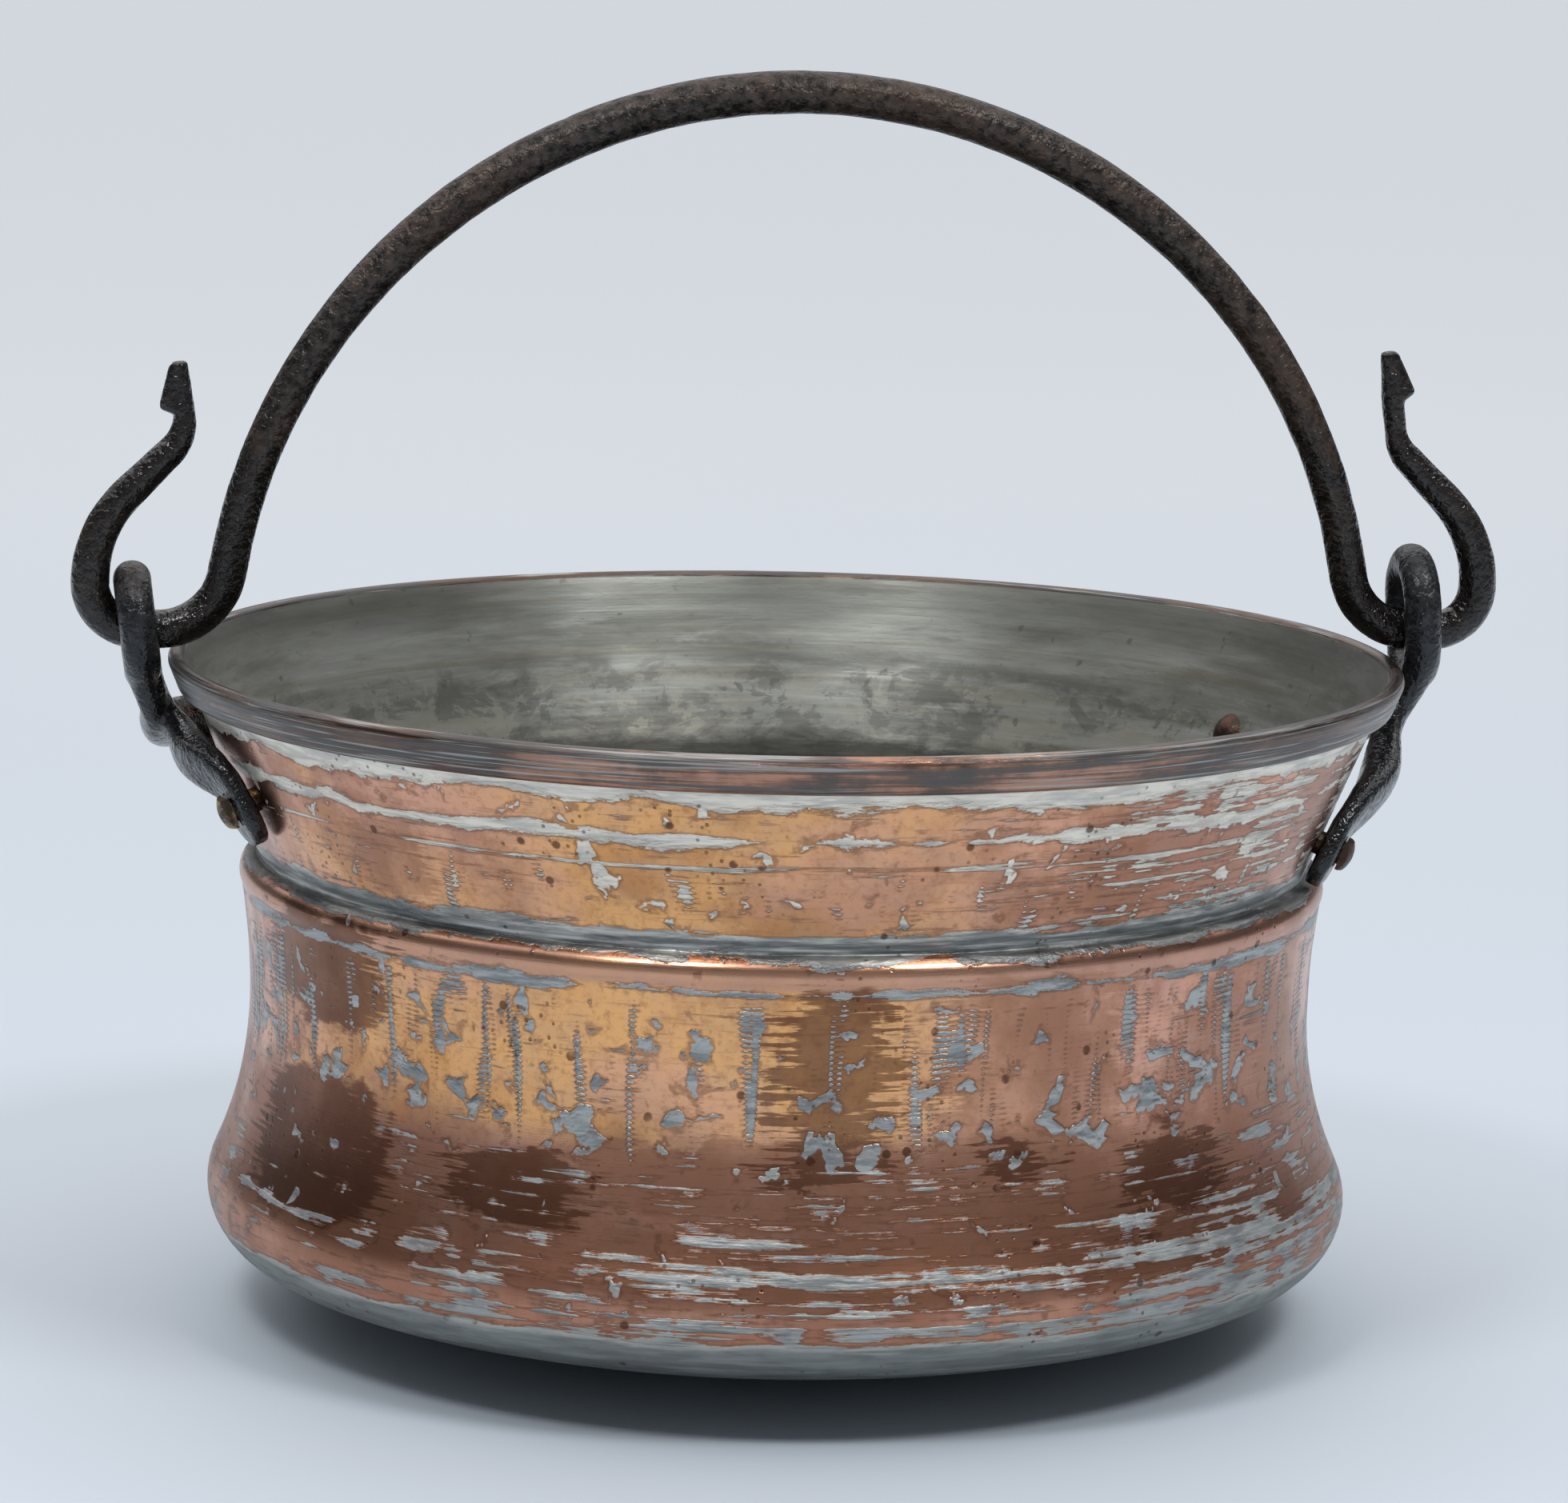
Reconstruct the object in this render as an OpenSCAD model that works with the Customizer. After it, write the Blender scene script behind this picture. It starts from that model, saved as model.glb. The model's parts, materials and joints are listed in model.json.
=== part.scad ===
// Copper cauldron with a hooped rim, riveted iron ears and a swinging iron bail.
// The floor is z = 0, the vessel's axis is Z, and the bail hangs along X.

/* [Vessel] */
// Outer diameter of the folded rim
rim_d = 360; // [330:1:400]
// Height of the rim above the floor
vessel_h = 194; // [185:1:210]
// Thickness of the copper sheet
sheet_t = 1.2; // [0.8:0.1:1.6]
// Thickness of the flat iron hoop that the rim is folded over
hoop_t = 2.2; // [1.8:0.1:3]
// Height of that hoop
hoop_h = 8.8; // [6:0.1:10]
// Radius of the flat patch that the vessel stands on
stand_r = 75; // [60:1:90]
// Radius of the domed underside
dome_r = 500; // [450:10:600]
// Inset of the belly's widest point from the rim
belly_in = 12.5; // [8:0.5:18]
// Height of the widest point
belly_z = 38; // [34:1:44]
// Inset of the waist from the belly
waist_in = 11.9; // [9:0.1:15]
// Depth of the crease under the shoulder bead, below the rim
neck_h = 67; // [66:0.5:74]
// Depth of the waist below that crease
waist_drop = 34; // [28:1:40]
// Radius of the outward sweep from the waist to the shoulder
sweep_r = 222; // [180:1:300]
// Radius of the shoulder bead
bead_r = 5.5; // [4.5:0.1:6.5]

/* [Ears] */
// Diameter of the bar that the ears are forged from
ear_bar_d = 11.5; // [9:0.5:12]
// Width of an eye's oval hole
eye_w = 13.6; // [13:0.2:14.4]
// Height of the left eye's hole
left_eye_h = 15; // [15:0.5:24]
// Height of the right eye's hole
right_eye_h = 21; // [15:0.5:24]
// Outward lean of the left eye
left_lean = 7; // [0:1:8]
// Outward lean of the right eye
right_lean = -3; // [-4:1:8]
// Depth below the rim at which an ear's legs pass under its eye
pass_depth = 17; // [16.5:0.5:20]
// Inset from the eye of a leg that crosses on the vessel's side
cross_in = 8.5; // [6:0.5:8.5]
// Inset from the eye of a leg that crosses on the outer side
cross_out = 4; // [2:0.5:5]
// Extra depth of the leg on the vessel's side
cross_drop = 3; // [3:0.5:5]
// Inset from the eye of a leg that keeps to its own side
own_in = 6.4; // [4:0.2:6.6]
// Offset of such a leg from the eye's middle
own_off = 6; // [5:0.5:7]
// Thickness of a leg there
leg_t = 8.6; // [7:0.2:9]
// Width of a foot at its rivet
foot_w = 18; // [14:0.5:22]
// Thickness of a foot at its rivet
foot_t = 6.5; // [4:0.5:8]
// Length of a foot past its rivet
foot_tip = 12; // [10:0.5:12.5]
// Length of a foot above its rivet
foot_top = 6; // [4:0.5:8]
// Width of a foot at its tip
foot_end_w = 5; // [4:0.5:8]
// Thickness of a foot at its tip
foot_end_t = 5; // [3:0.2:6]
// Extra thickness of a leg, on its outer side, midway to its foot
leg_swell = 4; // [0:0.5:4]
// Outward bow of a leg between its eye and its foot
leg_bow = 4; // [0:0.5:6]
// Slant of a foot away from the eye, against the neck's slope
foot_slant = 30; // [10:1:40]
// Angle round the rim from the left eye to its front foot
left_front_spread = 15.5; // [12:0.5:30]
// Angle round the rim from the left eye to its back foot
left_back_spread = 18; // [12:0.5:30]
// Angle round the rim from the right eye to its front foot
right_front_spread = 20; // [12:0.5:30]
// Angle round the rim from the right eye to its back foot
right_back_spread = 25; // [12:0.5:30]
// Depth of the left ear's front rivet below the rim
left_front_depth = 36; // [34:0.5:47]
// Depth of the left ear's back rivet below the rim
left_back_depth = 37; // [34:0.5:47]
// Depth of the right ear's front rivet below the rim
right_front_depth = 47; // [34:0.5:47]
// Depth of the right ear's back rivet below the rim
right_back_depth = 36; // [34:0.5:47]

/* [Rivets] */
// Diameter of a rivet's shank
rivet_d = 7; // [5:0.5:8]
// Diameter of a rivet's domed head inside the vessel
rivet_head_d = 13; // [10:0.5:16]
// Height of that head
rivet_head_h = 3.5; // [2:0.5:5]
// Width of the squared, peened end outside
peen_w = 8.5; // [6:0.5:11]
// Height of the peened end
peen_h = 3.2; // [2:0.2:5]

/* [Bail] */
// Diameter of the bail's rod
rod_d = 11.8; // [10:0.2:12.4]
// Height of the bail's top above the floor
bail_h = 363; // [330:1:400]
// Sideways set of the bail in its eyes, toward the right
bail_shift = 2; // [-2:0.5:2]
// Bend radius where an arm turns out into its eye
inner_bend_r = 20; // [16:1:26]
// Bend radius where the hook turns up past its eye
outer_bend_r = 13.5; // [13:0.5:18]
// Radius of the hook's inward sweep
hook_sweep_r = 36; // [30:1:42]
// Turn of that sweep
hook_turn = 45; // [35:1:50]
// Straight run of the left hook
left_hook_run = 20; // [12:1:24]
// Straight run of the right hook
right_hook_run = 19; // [12:1:24]
// Bend radius under a hook's head
nape_r = 8; // [7:1:14]
// Inward lean of the left head
left_head_lean = -6; // [-15:1:20]
// Inward lean of the right head
right_head_lean = 7; // [-15:1:20]
// Length of the left head
left_head_l = 18; // [17:1:28]
// Length of the right head
right_head_l = 26; // [17:1:28]
// Width of a hook at its nape
nape_w = 6.4; // [4:0.2:8]
// Width of a head across its barb
head_w = 11.2; // [8:0.2:14]
// Length of a head from its barb to its tip
barb_l = 14; // [11:0.5:15]
// Thickness of a head across the bail's plane
head_t = 7.6; // [6:0.2:9]
// Width of a head's blunt tip
head_tip_w = 5.2; // [3:0.2:7]

/* [Clearances] */
// Gap between the hoop and the fold around it
hoop_gap = 0.15; // [0.1:0.05:0.3]
// Gap between the fold's edge and the neck
fold_gap = 0.2; // [0.15:0.05:0.4]
// Gap between an eye and the rim
eye_gap = 1.2; // [1:0.1:3]
// Gap between the rod and the floor of an eye
rod_gap = 0.35; // [0.3:0.05:1]
// Height of the lowered bail over the rim
rest_gap = 0.7; // [0.5:0.1:3]
// Gap between a foot and the neck it sits on
seat_gap = 0.15; // [0.1:0.05:0.3]
// Gap around a rivet's shank in its holes
shank_gap = 0.1; // [0.05:0.05:0.3]
// Gap under a rivet's head, which spans the neck's curve
head_gap = 0.3; // [0.25:0.05:0.5]

/* [Hidden] */
$fn = 96;
copper = "#b8714f";
iron = "#2b2523";
rivet_metal = "#6e5233";

function polar(c, r, a) = c + r * [cos(a), sin(a)];
function arc(c, r, a0, a1, n) = [for (i = [0:n]) polar(c, r, a0 + (a1 - a0) * i / n)];
function unit(v) = v / norm(v);
function reversed(list) = [for (i = [len(list) - 1:-1:0]) list[i]];
function bezier(p, t) =
    p[0] * pow(1 - t, 3) + p[1] * 3 * t * pow(1 - t, 2) + p[2] * 3 * t * t * (1 - t) + p[3] * pow(t, 3);
function bezier_slope(p, t) =
    (p[1] - p[0]) * 3 * pow(1 - t, 2) + (p[2] - p[1]) * 6 * t * (1 - t) + (p[3] - p[2]) * 3 * t * t;

// Vessel profile in (radius, height): dome, knuckle, belly, waist, shoulder bead
arc_steps = 10;
rim_r = rim_d / 2;
belly_r = rim_r - belly_in;
waist_r = belly_r - waist_in;
crease_z = vessel_h - neck_h;
waist_z = crease_z - waist_drop;
dome_c = [0, sqrt(dome_r * dome_r - stand_r * stand_r)];
knuckle_r = (dome_r * dome_r - belly_r * belly_r - pow(dome_c.y - belly_z, 2)) / (2 * (dome_r - belly_r));
knuckle_c = [belly_r - knuckle_r, belly_z];
dome_start = atan2(-dome_c.y, stand_r);
dome_end = atan2(knuckle_c.y - dome_c.y, knuckle_c.x);
belly_sweep_r = (pow(belly_r - waist_r, 2) + pow(waist_z - belly_z, 2)) / (2 * (belly_r - waist_r)) - knuckle_r;
belly_c = [waist_r + belly_sweep_r, waist_z];
knuckle_end = atan2(belly_c.y - knuckle_c.y, belly_c.x - knuckle_c.x);
sweep_c = [waist_r + sweep_r, waist_z];
sweep_end = 180 - asin((crease_z - waist_z) / sweep_r);
crease = polar(sweep_c, sweep_r, sweep_end);
crease_a = -30;
bead_c = crease - bead_r * [cos(crease_a), sin(crease_a)];
groove = bead_c + [0, bead_r];

// Neck, a cone whose top is folded outward and down over the hoop and tucked in under it
hoop_r = hoop_t / 2;
fold_r = hoop_r + hoop_gap;
fold_c = [rim_r, vessel_h] - (fold_r + sheet_t) * [1, 1];
to_fold = fold_c - groove;
neck_a = atan2(to_fold.y, to_fold.x) + asin(fold_r / norm(to_fold));
tuck_c = polar(fold_c, hoop_t - hoop_h, neck_a);
fold_start = neck_a + 90;
fold_turn = neck_a - 90;
tuck_end = fold_start + acos((fold_r - fold_gap) / (fold_r + sheet_t)) - 360;
neck_side = [-sin(neck_a), cos(neck_a)] * sheet_t;
mitre_x = groove.x + neck_side.x - (sheet_t + neck_side.y) / tan(neck_a);

// Point of the neck's outer face at a height, its slope and its outward normal, at azimuth az
function neck_point(az, z) = let (r = groove.x + (z - groove.y) / tan(neck_a)) [r * cos(az), r * sin(az), z];
function neck_up(az) = [cos(neck_a) * cos(az), cos(neck_a) * sin(az), sin(neck_a)];
function neck_out(az) = [sin(neck_a) * cos(az), sin(neck_a) * sin(az), -cos(neck_a)];

// Bail's hinge line, which runs through both eyes
ear_bar_r = ear_bar_d / 2;
rod_r = rod_d / 2;
eye_x = rim_r + eye_gap + ear_bar_r;
pivot_z = vessel_h + rest_gap + rod_r;
eye_floor = [eye_x, 0, pivot_z - rod_r - rod_gap];

// A bend is drawn a little thinner than its bar, and its ends run a little way into its neighbours
bend_thinning = 0.05;
bend_lap = 0.3;

// A round bar bent about c in the XZ plane, run on by lap at both ends
module bent_rod(c, r, a0, a1, bar_r, lap = 0) {
    lap_a = asin(lap / r);
    rotate([90, 0, 0]) translate(c) rotate([0, 0, a0 - lap_a])
        rotate_extrude(angle = a1 - a0 + 2 * lap_a) translate([r, 0]) circle(r = bar_r);
}

// A skin over a row of rings, each ring having the same number of points
module loft(rings) {
    n = len(rings[0]);
    last = (len(rings) - 1) * n;
    skin = [for (j = [0:n:last - n], i = [0:n - 1])
        let (k = (i + 1) % n) each [[j + i, j + n + k, j + k], [j + i, j + n + i, j + n + k]]];
    ends = [[for (i = [0:n - 1]) i], [for (i = [n - 1:-1:0]) last + i]];
    polyhedron([for (ring = rings) each ring], concat(skin, ends));
}

function rounded(x, squareness) = sign(x) * pow(abs(x), squareness);

// A ring about c with half-widths along u, one for each side, and a half-thickness along v
function ring(c, u, v, plus, minus, thick, squareness, sides) =
    [for (i = [0:sides - 1])
        let (x = cos(360 * i / sides), y = sin(360 * i / sides))
        c + u * (x > 0 ? plus : minus) * rounded(x, squareness) + v * thick * rounded(y, squareness)];

module vessel_sheet() {
    outside = concat(
        [[0, 0]],
        arc(dome_c, dome_r, dome_start, dome_end, arc_steps),
        arc(knuckle_c, knuckle_r, dome_end, knuckle_end, arc_steps),
        arc(belly_c, belly_sweep_r, 180 + knuckle_end, 180, arc_steps),
        arc(sweep_c, sweep_r, 180, sweep_end, arc_steps),
        arc(bead_c, bead_r, crease_a, 90, arc_steps),
        arc(fold_c, fold_r, fold_start, fold_turn, arc_steps),
        arc(tuck_c, fold_r, fold_turn, tuck_end, arc_steps));
    inside = concat(
        [[0, sheet_t]],
        arc(dome_c, dome_r - sheet_t, dome_start, dome_end, arc_steps),
        arc(knuckle_c, knuckle_r - sheet_t, dome_end, knuckle_end, arc_steps),
        arc(belly_c, belly_sweep_r + sheet_t, 180 + knuckle_end, 180, arc_steps),
        arc(sweep_c, sweep_r + sheet_t, 180, sweep_end, arc_steps),
        arc(bead_c, bead_r - sheet_t, crease_a, 90, arc_steps),
        [[mitre_x, groove.y - sheet_t]],
        arc(fold_c, fold_r + sheet_t, fold_start, fold_turn, arc_steps),
        arc(tuck_c, fold_r + sheet_t, fold_turn, tuck_end, arc_steps));
    rotate_extrude(convexity = 6) polygon(concat(outside, reversed(inside)));
}

// Places a child on the neck with its +Z along the outward normal
module on_neck(az, depth) {
    translate(neck_point(az, vessel_h - depth)) rotate([0, 0, az]) rotate([0, 180 - neck_a, 0]) children();
}

// Left-hand fittings are drawn as right-hand ones and mirrored
module left() { mirror([1, 0, 0]) children(); }

module rivet_hole(az, depth) {
    on_neck(az, depth) cylinder(r = rivet_d / 2 + shank_gap, h = 4 * foot_t, center = true);
}

module vessel() {
    color(copper) difference() {
        vessel_sheet();
        left() rivet_hole(-left_front_spread, left_front_depth);
        left() rivet_hole(left_back_spread, left_back_depth);
        rivet_hole(-right_front_spread, right_front_depth);
        rivet_hole(right_back_spread, right_back_depth);
    }
}

module rim_hoop() {
    section = concat(
        arc(fold_c, hoop_r, fold_start, fold_turn, arc_steps),
        arc(tuck_c, hoop_r, fold_turn, fold_start - 360, arc_steps));
    color(iron) rotate_extrude() polygon(section);
}

// How a leg leaves its eye: the angle round the eye where it starts, counted down from the leg's own side,
// then its inset from the eye, its offset to its own side and its extra depth where it passes under the
// eye, and its heading there
crosses_inside = [120, cross_in, 0, cross_drop, [-1, 1, -0.8]];
crosses_outside = [120, cross_out, 0, 0, [0, 1, -0.8]];
keeps_its_side = [20, own_in, own_off, 0, [-0.7, 0.7, -1]];

leg_sides = 16;
leg_steps = 6;
strap_steps = 12;
foot_steps = 8;
leg_sink = 0.2;
foot_squareness = 0.5;
eye_r = (eye_w + ear_bar_d) / 2;

function foot_way(az) =
    [-sin(az), cos(az), 0] * sign(az) * sin(foot_slant) - neck_up(az) * cos(foot_slant);

// Two curves and the middle of the foot: from the eye to the pass under it, and on to the foot
function leg_path(az, depth, lean, leaving) =
    let (
        side = [0, sign(az), 0],
        tilt = [sin(lean), 0, cos(lean)],
        start_a = leaving[0],
        start = eye_floor + tilt * eye_w / 2 + eye_r * (side * cos(start_a) - tilt * sin(start_a)),
        start_way = (start_a > 90 ? 1 : -1) * (side * sin(start_a) + tilt * cos(start_a)),
        pass = [eye_x - leaving[1], 0, vessel_h - pass_depth - leaving[3]] + side * leaving[2],
        heading = leaving[4],
        pass_way = unit([heading.x, heading.y * sign(az), heading.z]),
        seat = neck_point(az, vessel_h - depth) + neck_out(az) * (seat_gap + foot_t / 2),
        foot = seat - foot_way(az) * foot_top,
        drop = norm(pass - start) / 3,
        reach = norm(foot - pass) / 3
    )
    [[start, start + start_way * drop, pass - pass_way * drop, pass],
     [pass, pass + pass_way * reach, foot - foot_way(az) * reach + neck_out(az) * leg_bow, foot],
     seat];

function leg_rings(az, depth, lean, leaving) =
    let (
        path = leg_path(az, depth, lean, leaving),
        out = neck_out(az),
        down = foot_way(az),
        core = ear_bar_r - leg_sink
    )
    concat(
        [for (i = [0:leg_steps])
            let (t = i / leg_steps, d = unit(bezier_slope(path[0], t)), v = unit(out - d * (d * out)))
            ring(bezier(path[0], t), cross(v, d), v, core, core, core + (leg_t / 2 - core) * t, 1, leg_sides)],
        [for (i = [1:strap_steps])
            let (t = i / strap_steps, d = unit(bezier_slope(path[1], t)), v = unit(out - d * (d * out)),
                 w = core + (foot_w / 2 - core) * t, swell = leg_swell * pow(sin(180 * t), 2))
            ring(bezier(path[1], t) + v * swell / 2, cross(v, d), v, w, w,
                 (leg_t + (foot_t - leg_t) * t + swell) / 2, 1 + (foot_squareness - 1) * t, leg_sides)],
        [for (i = [1:foot_steps])
            let (s = i / foot_steps * (foot_top + foot_tip), past = max(0, (s - foot_top) / foot_tip),
                 w = foot_end_w / 2 + (foot_w - foot_end_w) / 2 * sqrt(1 - past * past),
                 thick = foot_t / 2 + (foot_end_t - foot_t) / 2 * past * past)
            ring(path[2] + down * (s - foot_top) - out * (foot_t / 2 - thick), cross(out, down), out,
                 w, w, thick, foot_squareness, leg_sides)]);

// An oval ring standing across the bail, with its hole's floor at the origin
module eye(eye_h) {
    straight = eye_h - eye_w;
    rotate([0, 0, 90]) {
        bent_rod([0, eye_w / 2], eye_r, 180, 360, ear_bar_r - bend_thinning, bend_lap);
        bent_rod([0, eye_w / 2 + straight], eye_r, 0, 180, ear_bar_r - bend_thinning, bend_lap);
        for (x = [-eye_r, eye_r]) translate([x, 0, eye_w / 2]) cylinder(r = ear_bar_r, h = straight);
    }
}

module ear_body(eye_h, lean, front_leaving, front, front_depth, back_leaving, back, back_depth) {
    color(iron) difference() {
        union() {
            translate(eye_floor) rotate([0, lean, 0]) eye(eye_h);
            loft(leg_rings(-front, front_depth, lean, front_leaving));
            loft(leg_rings(back, back_depth, lean, back_leaving));
        }
        rivet_hole(-front, front_depth);
        rivet_hole(back, back_depth);
    }
}

module left_ear() {
    left() ear_body(left_eye_h, left_lean, crosses_inside, left_front_spread, left_front_depth,
        crosses_outside, left_back_spread, left_back_depth);
}

module right_ear() {
    ear_body(right_eye_h, right_lean, keeps_its_side, right_front_spread, right_front_depth,
        keeps_its_side, right_back_spread, right_back_depth);
}

// A rivet: domed head inside, shank through the sheet and the foot, squared peened end outside
module rivet(az, depth) {
    dome_rise_r = (pow(rivet_head_d / 2, 2) + pow(rivet_head_h, 2)) / (2 * rivet_head_h);
    foot_face = seat_gap + foot_t + seat_gap;
    color(rivet_metal) on_neck(az, depth) {
        translate([0, 0, -sheet_t - head_gap]) intersection() {
            translate([0, 0, dome_rise_r - rivet_head_h]) sphere(r = dome_rise_r);
            translate([0, 0, -rivet_head_h]) cylinder(d = rivet_head_d, h = rivet_head_h);
        }
        translate([0, 0, -sheet_t - head_gap]) cylinder(d = rivet_d, h = sheet_t + head_gap + foot_face);
        translate([0, 0, foot_face]) intersection() {
            translate([-peen_w / 2, -peen_w / 2, 0]) cube([peen_w, peen_w, peen_h]);
            translate([0, 0, peen_h - peen_w]) sphere(r = peen_w);
        }
    }
}

module left_front_rivet() { left() rivet(-left_front_spread, left_front_depth); }
module left_back_rivet() { left() rivet(left_back_spread, left_back_depth); }
module right_front_rivet() { rivet(-right_front_spread, right_front_depth); }
module right_back_rivet() { rivet(right_back_spread, right_back_depth); }

// Bail centreline in its own plane: bow, inner bend, straight run through the eye, outer bend
pivot_half = 3;
apex_z = bail_h - rod_r;
bail_rise = apex_z - pivot_z;
bend_x = eye_x - pivot_half;
bow_reach = (bail_rise * bail_rise + bend_x * bend_x) / (2 * bail_rise);
bow_r = bow_reach - inner_bend_r;
bow_c = [0, apex_z - bow_r];
bow_end = asin((pivot_z + inner_bend_r - bow_c.y) / bow_reach);

module bail_arm() {
    bend_bar_r = rod_r - bend_thinning;
    bent_rod([bend_x, pivot_z + inner_bend_r], inner_bend_r, 180 + bow_end, 270, bend_bar_r, bend_lap);
    translate([bend_x, 0, pivot_z]) rotate([0, 90, 0]) cylinder(r = rod_r, h = 2 * pivot_half);
    bent_rod([eye_x + pivot_half, pivot_z + outer_bend_r], outer_bend_r, 270, 360, bend_bar_r, bend_lap);
}

// Hook's centreline: sweep, straight run, nape bend and head, as [point, heading]
sweep_steps = 8;
nape_steps = 6;
barb_step = 1.6;
head_steps = [0, 0.3, 0.65, 0.92];
function hook_path(run, lean, head_l) =
    let (
        start = [eye_x + pivot_half + outer_bend_r, pivot_z + outer_bend_r],
        sweep = [for (i = [0:sweep_steps]) let (a = hook_turn * i / sweep_steps)
            [polar(start - [hook_sweep_r, 0], hook_sweep_r, a), 90 + a]],
        run_end = polar(sweep[sweep_steps][0], run, 90 + hook_turn),
        nape_c = polar(run_end, nape_r, hook_turn),
        nape = [for (i = [0:nape_steps]) let (a = hook_turn + (lean - hook_turn) * i / nape_steps)
            [polar(nape_c, nape_r, 180 + a), 90 + a]],
        along = concat([head_l - barb_l - barb_step], [for (t = head_steps) head_l - barb_l * (1 - t)], [head_l])
    )
    concat([[start - [0, bend_lap], 90]], sweep, nape,
        [for (s = along) [polar(nape[nape_steps][0], s, 90 + lean), 90 + lean]]);

// Half-widths of the hook's rings: outer side, inner side and thickness
hook_sides = 14;
hook_thinning = 0.1;
sweep_taper = 0.3;
nape_taper = 0.55;
tip_rounding = 0.7;
hook_root = (rod_r - hook_thinning) * [1, 1, 1];
hook_nape = [nape_w, nape_w, head_t] / 2;
head_barb = [head_w - nape_w / 2, nape_w / 2, head_t / 2];
head_tip = [head_tip_w, head_tip_w, head_tip_w] / 2;
hook_widths = concat(
    [hook_root],
    [for (i = [0:sweep_steps]) hook_root + (hook_nape - hook_root) * sweep_taper * i / sweep_steps],
    [for (i = [0:nape_steps]) hook_root + (hook_nape - hook_root) * (nape_taper + (1 - nape_taper) * i / nape_steps)],
    [hook_nape],
    [for (t = head_steps) head_barb + (head_tip - head_barb) * t],
    [head_tip * tip_rounding]);

module hook(run, lean, head_l) {
    path = hook_path(run, lean, head_l);
    loft([for (i = [0:len(path) - 1])
        let (p = path[i][0], h = path[i][1], w = hook_widths[i])
        ring([p.x, 0, p.y], [sin(h), 0, -cos(h)], [0, 1, 0], w[0], w[1], w[2], 1, hook_sides)]);
}

module bail() {
    color(iron) translate([bail_shift, 0, 0]) {
        bent_rod(bow_c, bow_r, bow_end, 180 - bow_end, rod_r);
        bail_arm();
        left() bail_arm();
        hook(right_hook_run, right_head_lean, right_head_l);
        left() hook(left_hook_run, left_head_lean, left_head_l);
    }
}

vessel();
rim_hoop();
left_ear();
right_ear();
left_front_rivet();
left_back_rivet();
right_front_rivet();
right_back_rivet();
bail();
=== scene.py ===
import bpy
import json
import math
from collections import namedtuple
from functools import reduce
from types import SimpleNamespace
from mathutils import Matrix, Vector, noise


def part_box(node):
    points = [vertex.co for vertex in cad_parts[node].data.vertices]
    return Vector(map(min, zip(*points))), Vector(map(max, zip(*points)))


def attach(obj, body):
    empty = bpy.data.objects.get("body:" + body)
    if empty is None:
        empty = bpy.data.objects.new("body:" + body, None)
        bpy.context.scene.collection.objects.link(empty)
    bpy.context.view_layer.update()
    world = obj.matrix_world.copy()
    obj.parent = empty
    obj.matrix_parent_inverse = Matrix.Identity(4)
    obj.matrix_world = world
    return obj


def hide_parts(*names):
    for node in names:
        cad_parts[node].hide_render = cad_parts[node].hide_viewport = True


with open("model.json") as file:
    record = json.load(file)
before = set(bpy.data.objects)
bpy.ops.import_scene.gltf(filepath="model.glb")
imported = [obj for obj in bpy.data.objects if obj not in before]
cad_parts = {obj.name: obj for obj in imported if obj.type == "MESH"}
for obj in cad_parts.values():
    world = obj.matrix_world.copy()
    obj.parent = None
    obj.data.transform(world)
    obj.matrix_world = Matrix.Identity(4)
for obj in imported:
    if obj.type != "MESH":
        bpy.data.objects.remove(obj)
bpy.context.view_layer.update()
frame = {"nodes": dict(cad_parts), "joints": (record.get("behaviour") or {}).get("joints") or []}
MM = 0.001


# Plain geometry helpers, in millimetres and degrees

def sin(a):
    return math.sin(math.radians(a))


def cos(a):
    return math.cos(math.radians(a))


def angle_of(x, y):
    return math.degrees(math.atan2(y, x))


def polar(c, r, a):
    return (c[0] + r * cos(a), c[1] + r * sin(a))


def arc(c, r, start, end, steps):
    return [polar(c, r, start + (end - start) * i / steps) for i in range(steps + 1)]


def line(a, b, steps):
    shares = [i / steps for i in range(steps + 1)]
    return [(a[0] + (b[0] - a[0]) * t, a[1] + (b[1] - a[1]) * t) for t in shares]


def smooth(a, b, x):
    t = min(1.0, max(0.0, (x - a) / (b - a)))
    return t * t * (3 - 2 * t)


def wave(radians):
    return 0.5 + 0.5 * math.sin(radians)


def wobble(p, size, seed):
    """Noise from 0 to 1 at the point p, with bumps of about that size."""
    return 0.5 + 0.5 * noise.noise(Vector(p) / size + Vector((seed, -seed, 2 * seed)))


# Vessel sizes in millimetres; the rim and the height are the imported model's
rim_r = round(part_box("vessel")[1].x / MM, 1)
vessel_h = round(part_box("vessel")[1].z / MM, 1)
sheet_t = 1.2
hoop_t = 2.2
hoop_h = 8.8
hoop_gap = 0.15
fold_gap = 0.2
stand_r = 75.0
dome_r = 500.0
belly_in = 12.5
belly_z = 38.0
waist_in = 11.9
neck_h = 67.0
waist_drop = 34.0
sweep_r = 222.0
bead_r = 5.5
crease_a = -30.0

# Ear sizes
ear_bar_r = 5.75
eye_w = 13.6
eye_gap = 1.2
rod_gap = 0.35
pass_depth = 17.0
leg_t = 8.6
leg_swell = 4.0
leg_bow = 4.0
leg_sink = 0.2
eye_thinning = 0.05
foot_w = 18.0
foot_t = 6.5
foot_tip = 12.0
foot_top = 6.0
foot_end_w = 5.0
foot_end_t = 5.0
foot_slant = 30.0
foot_squareness = 0.5
seat_gap = 0.15

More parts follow.
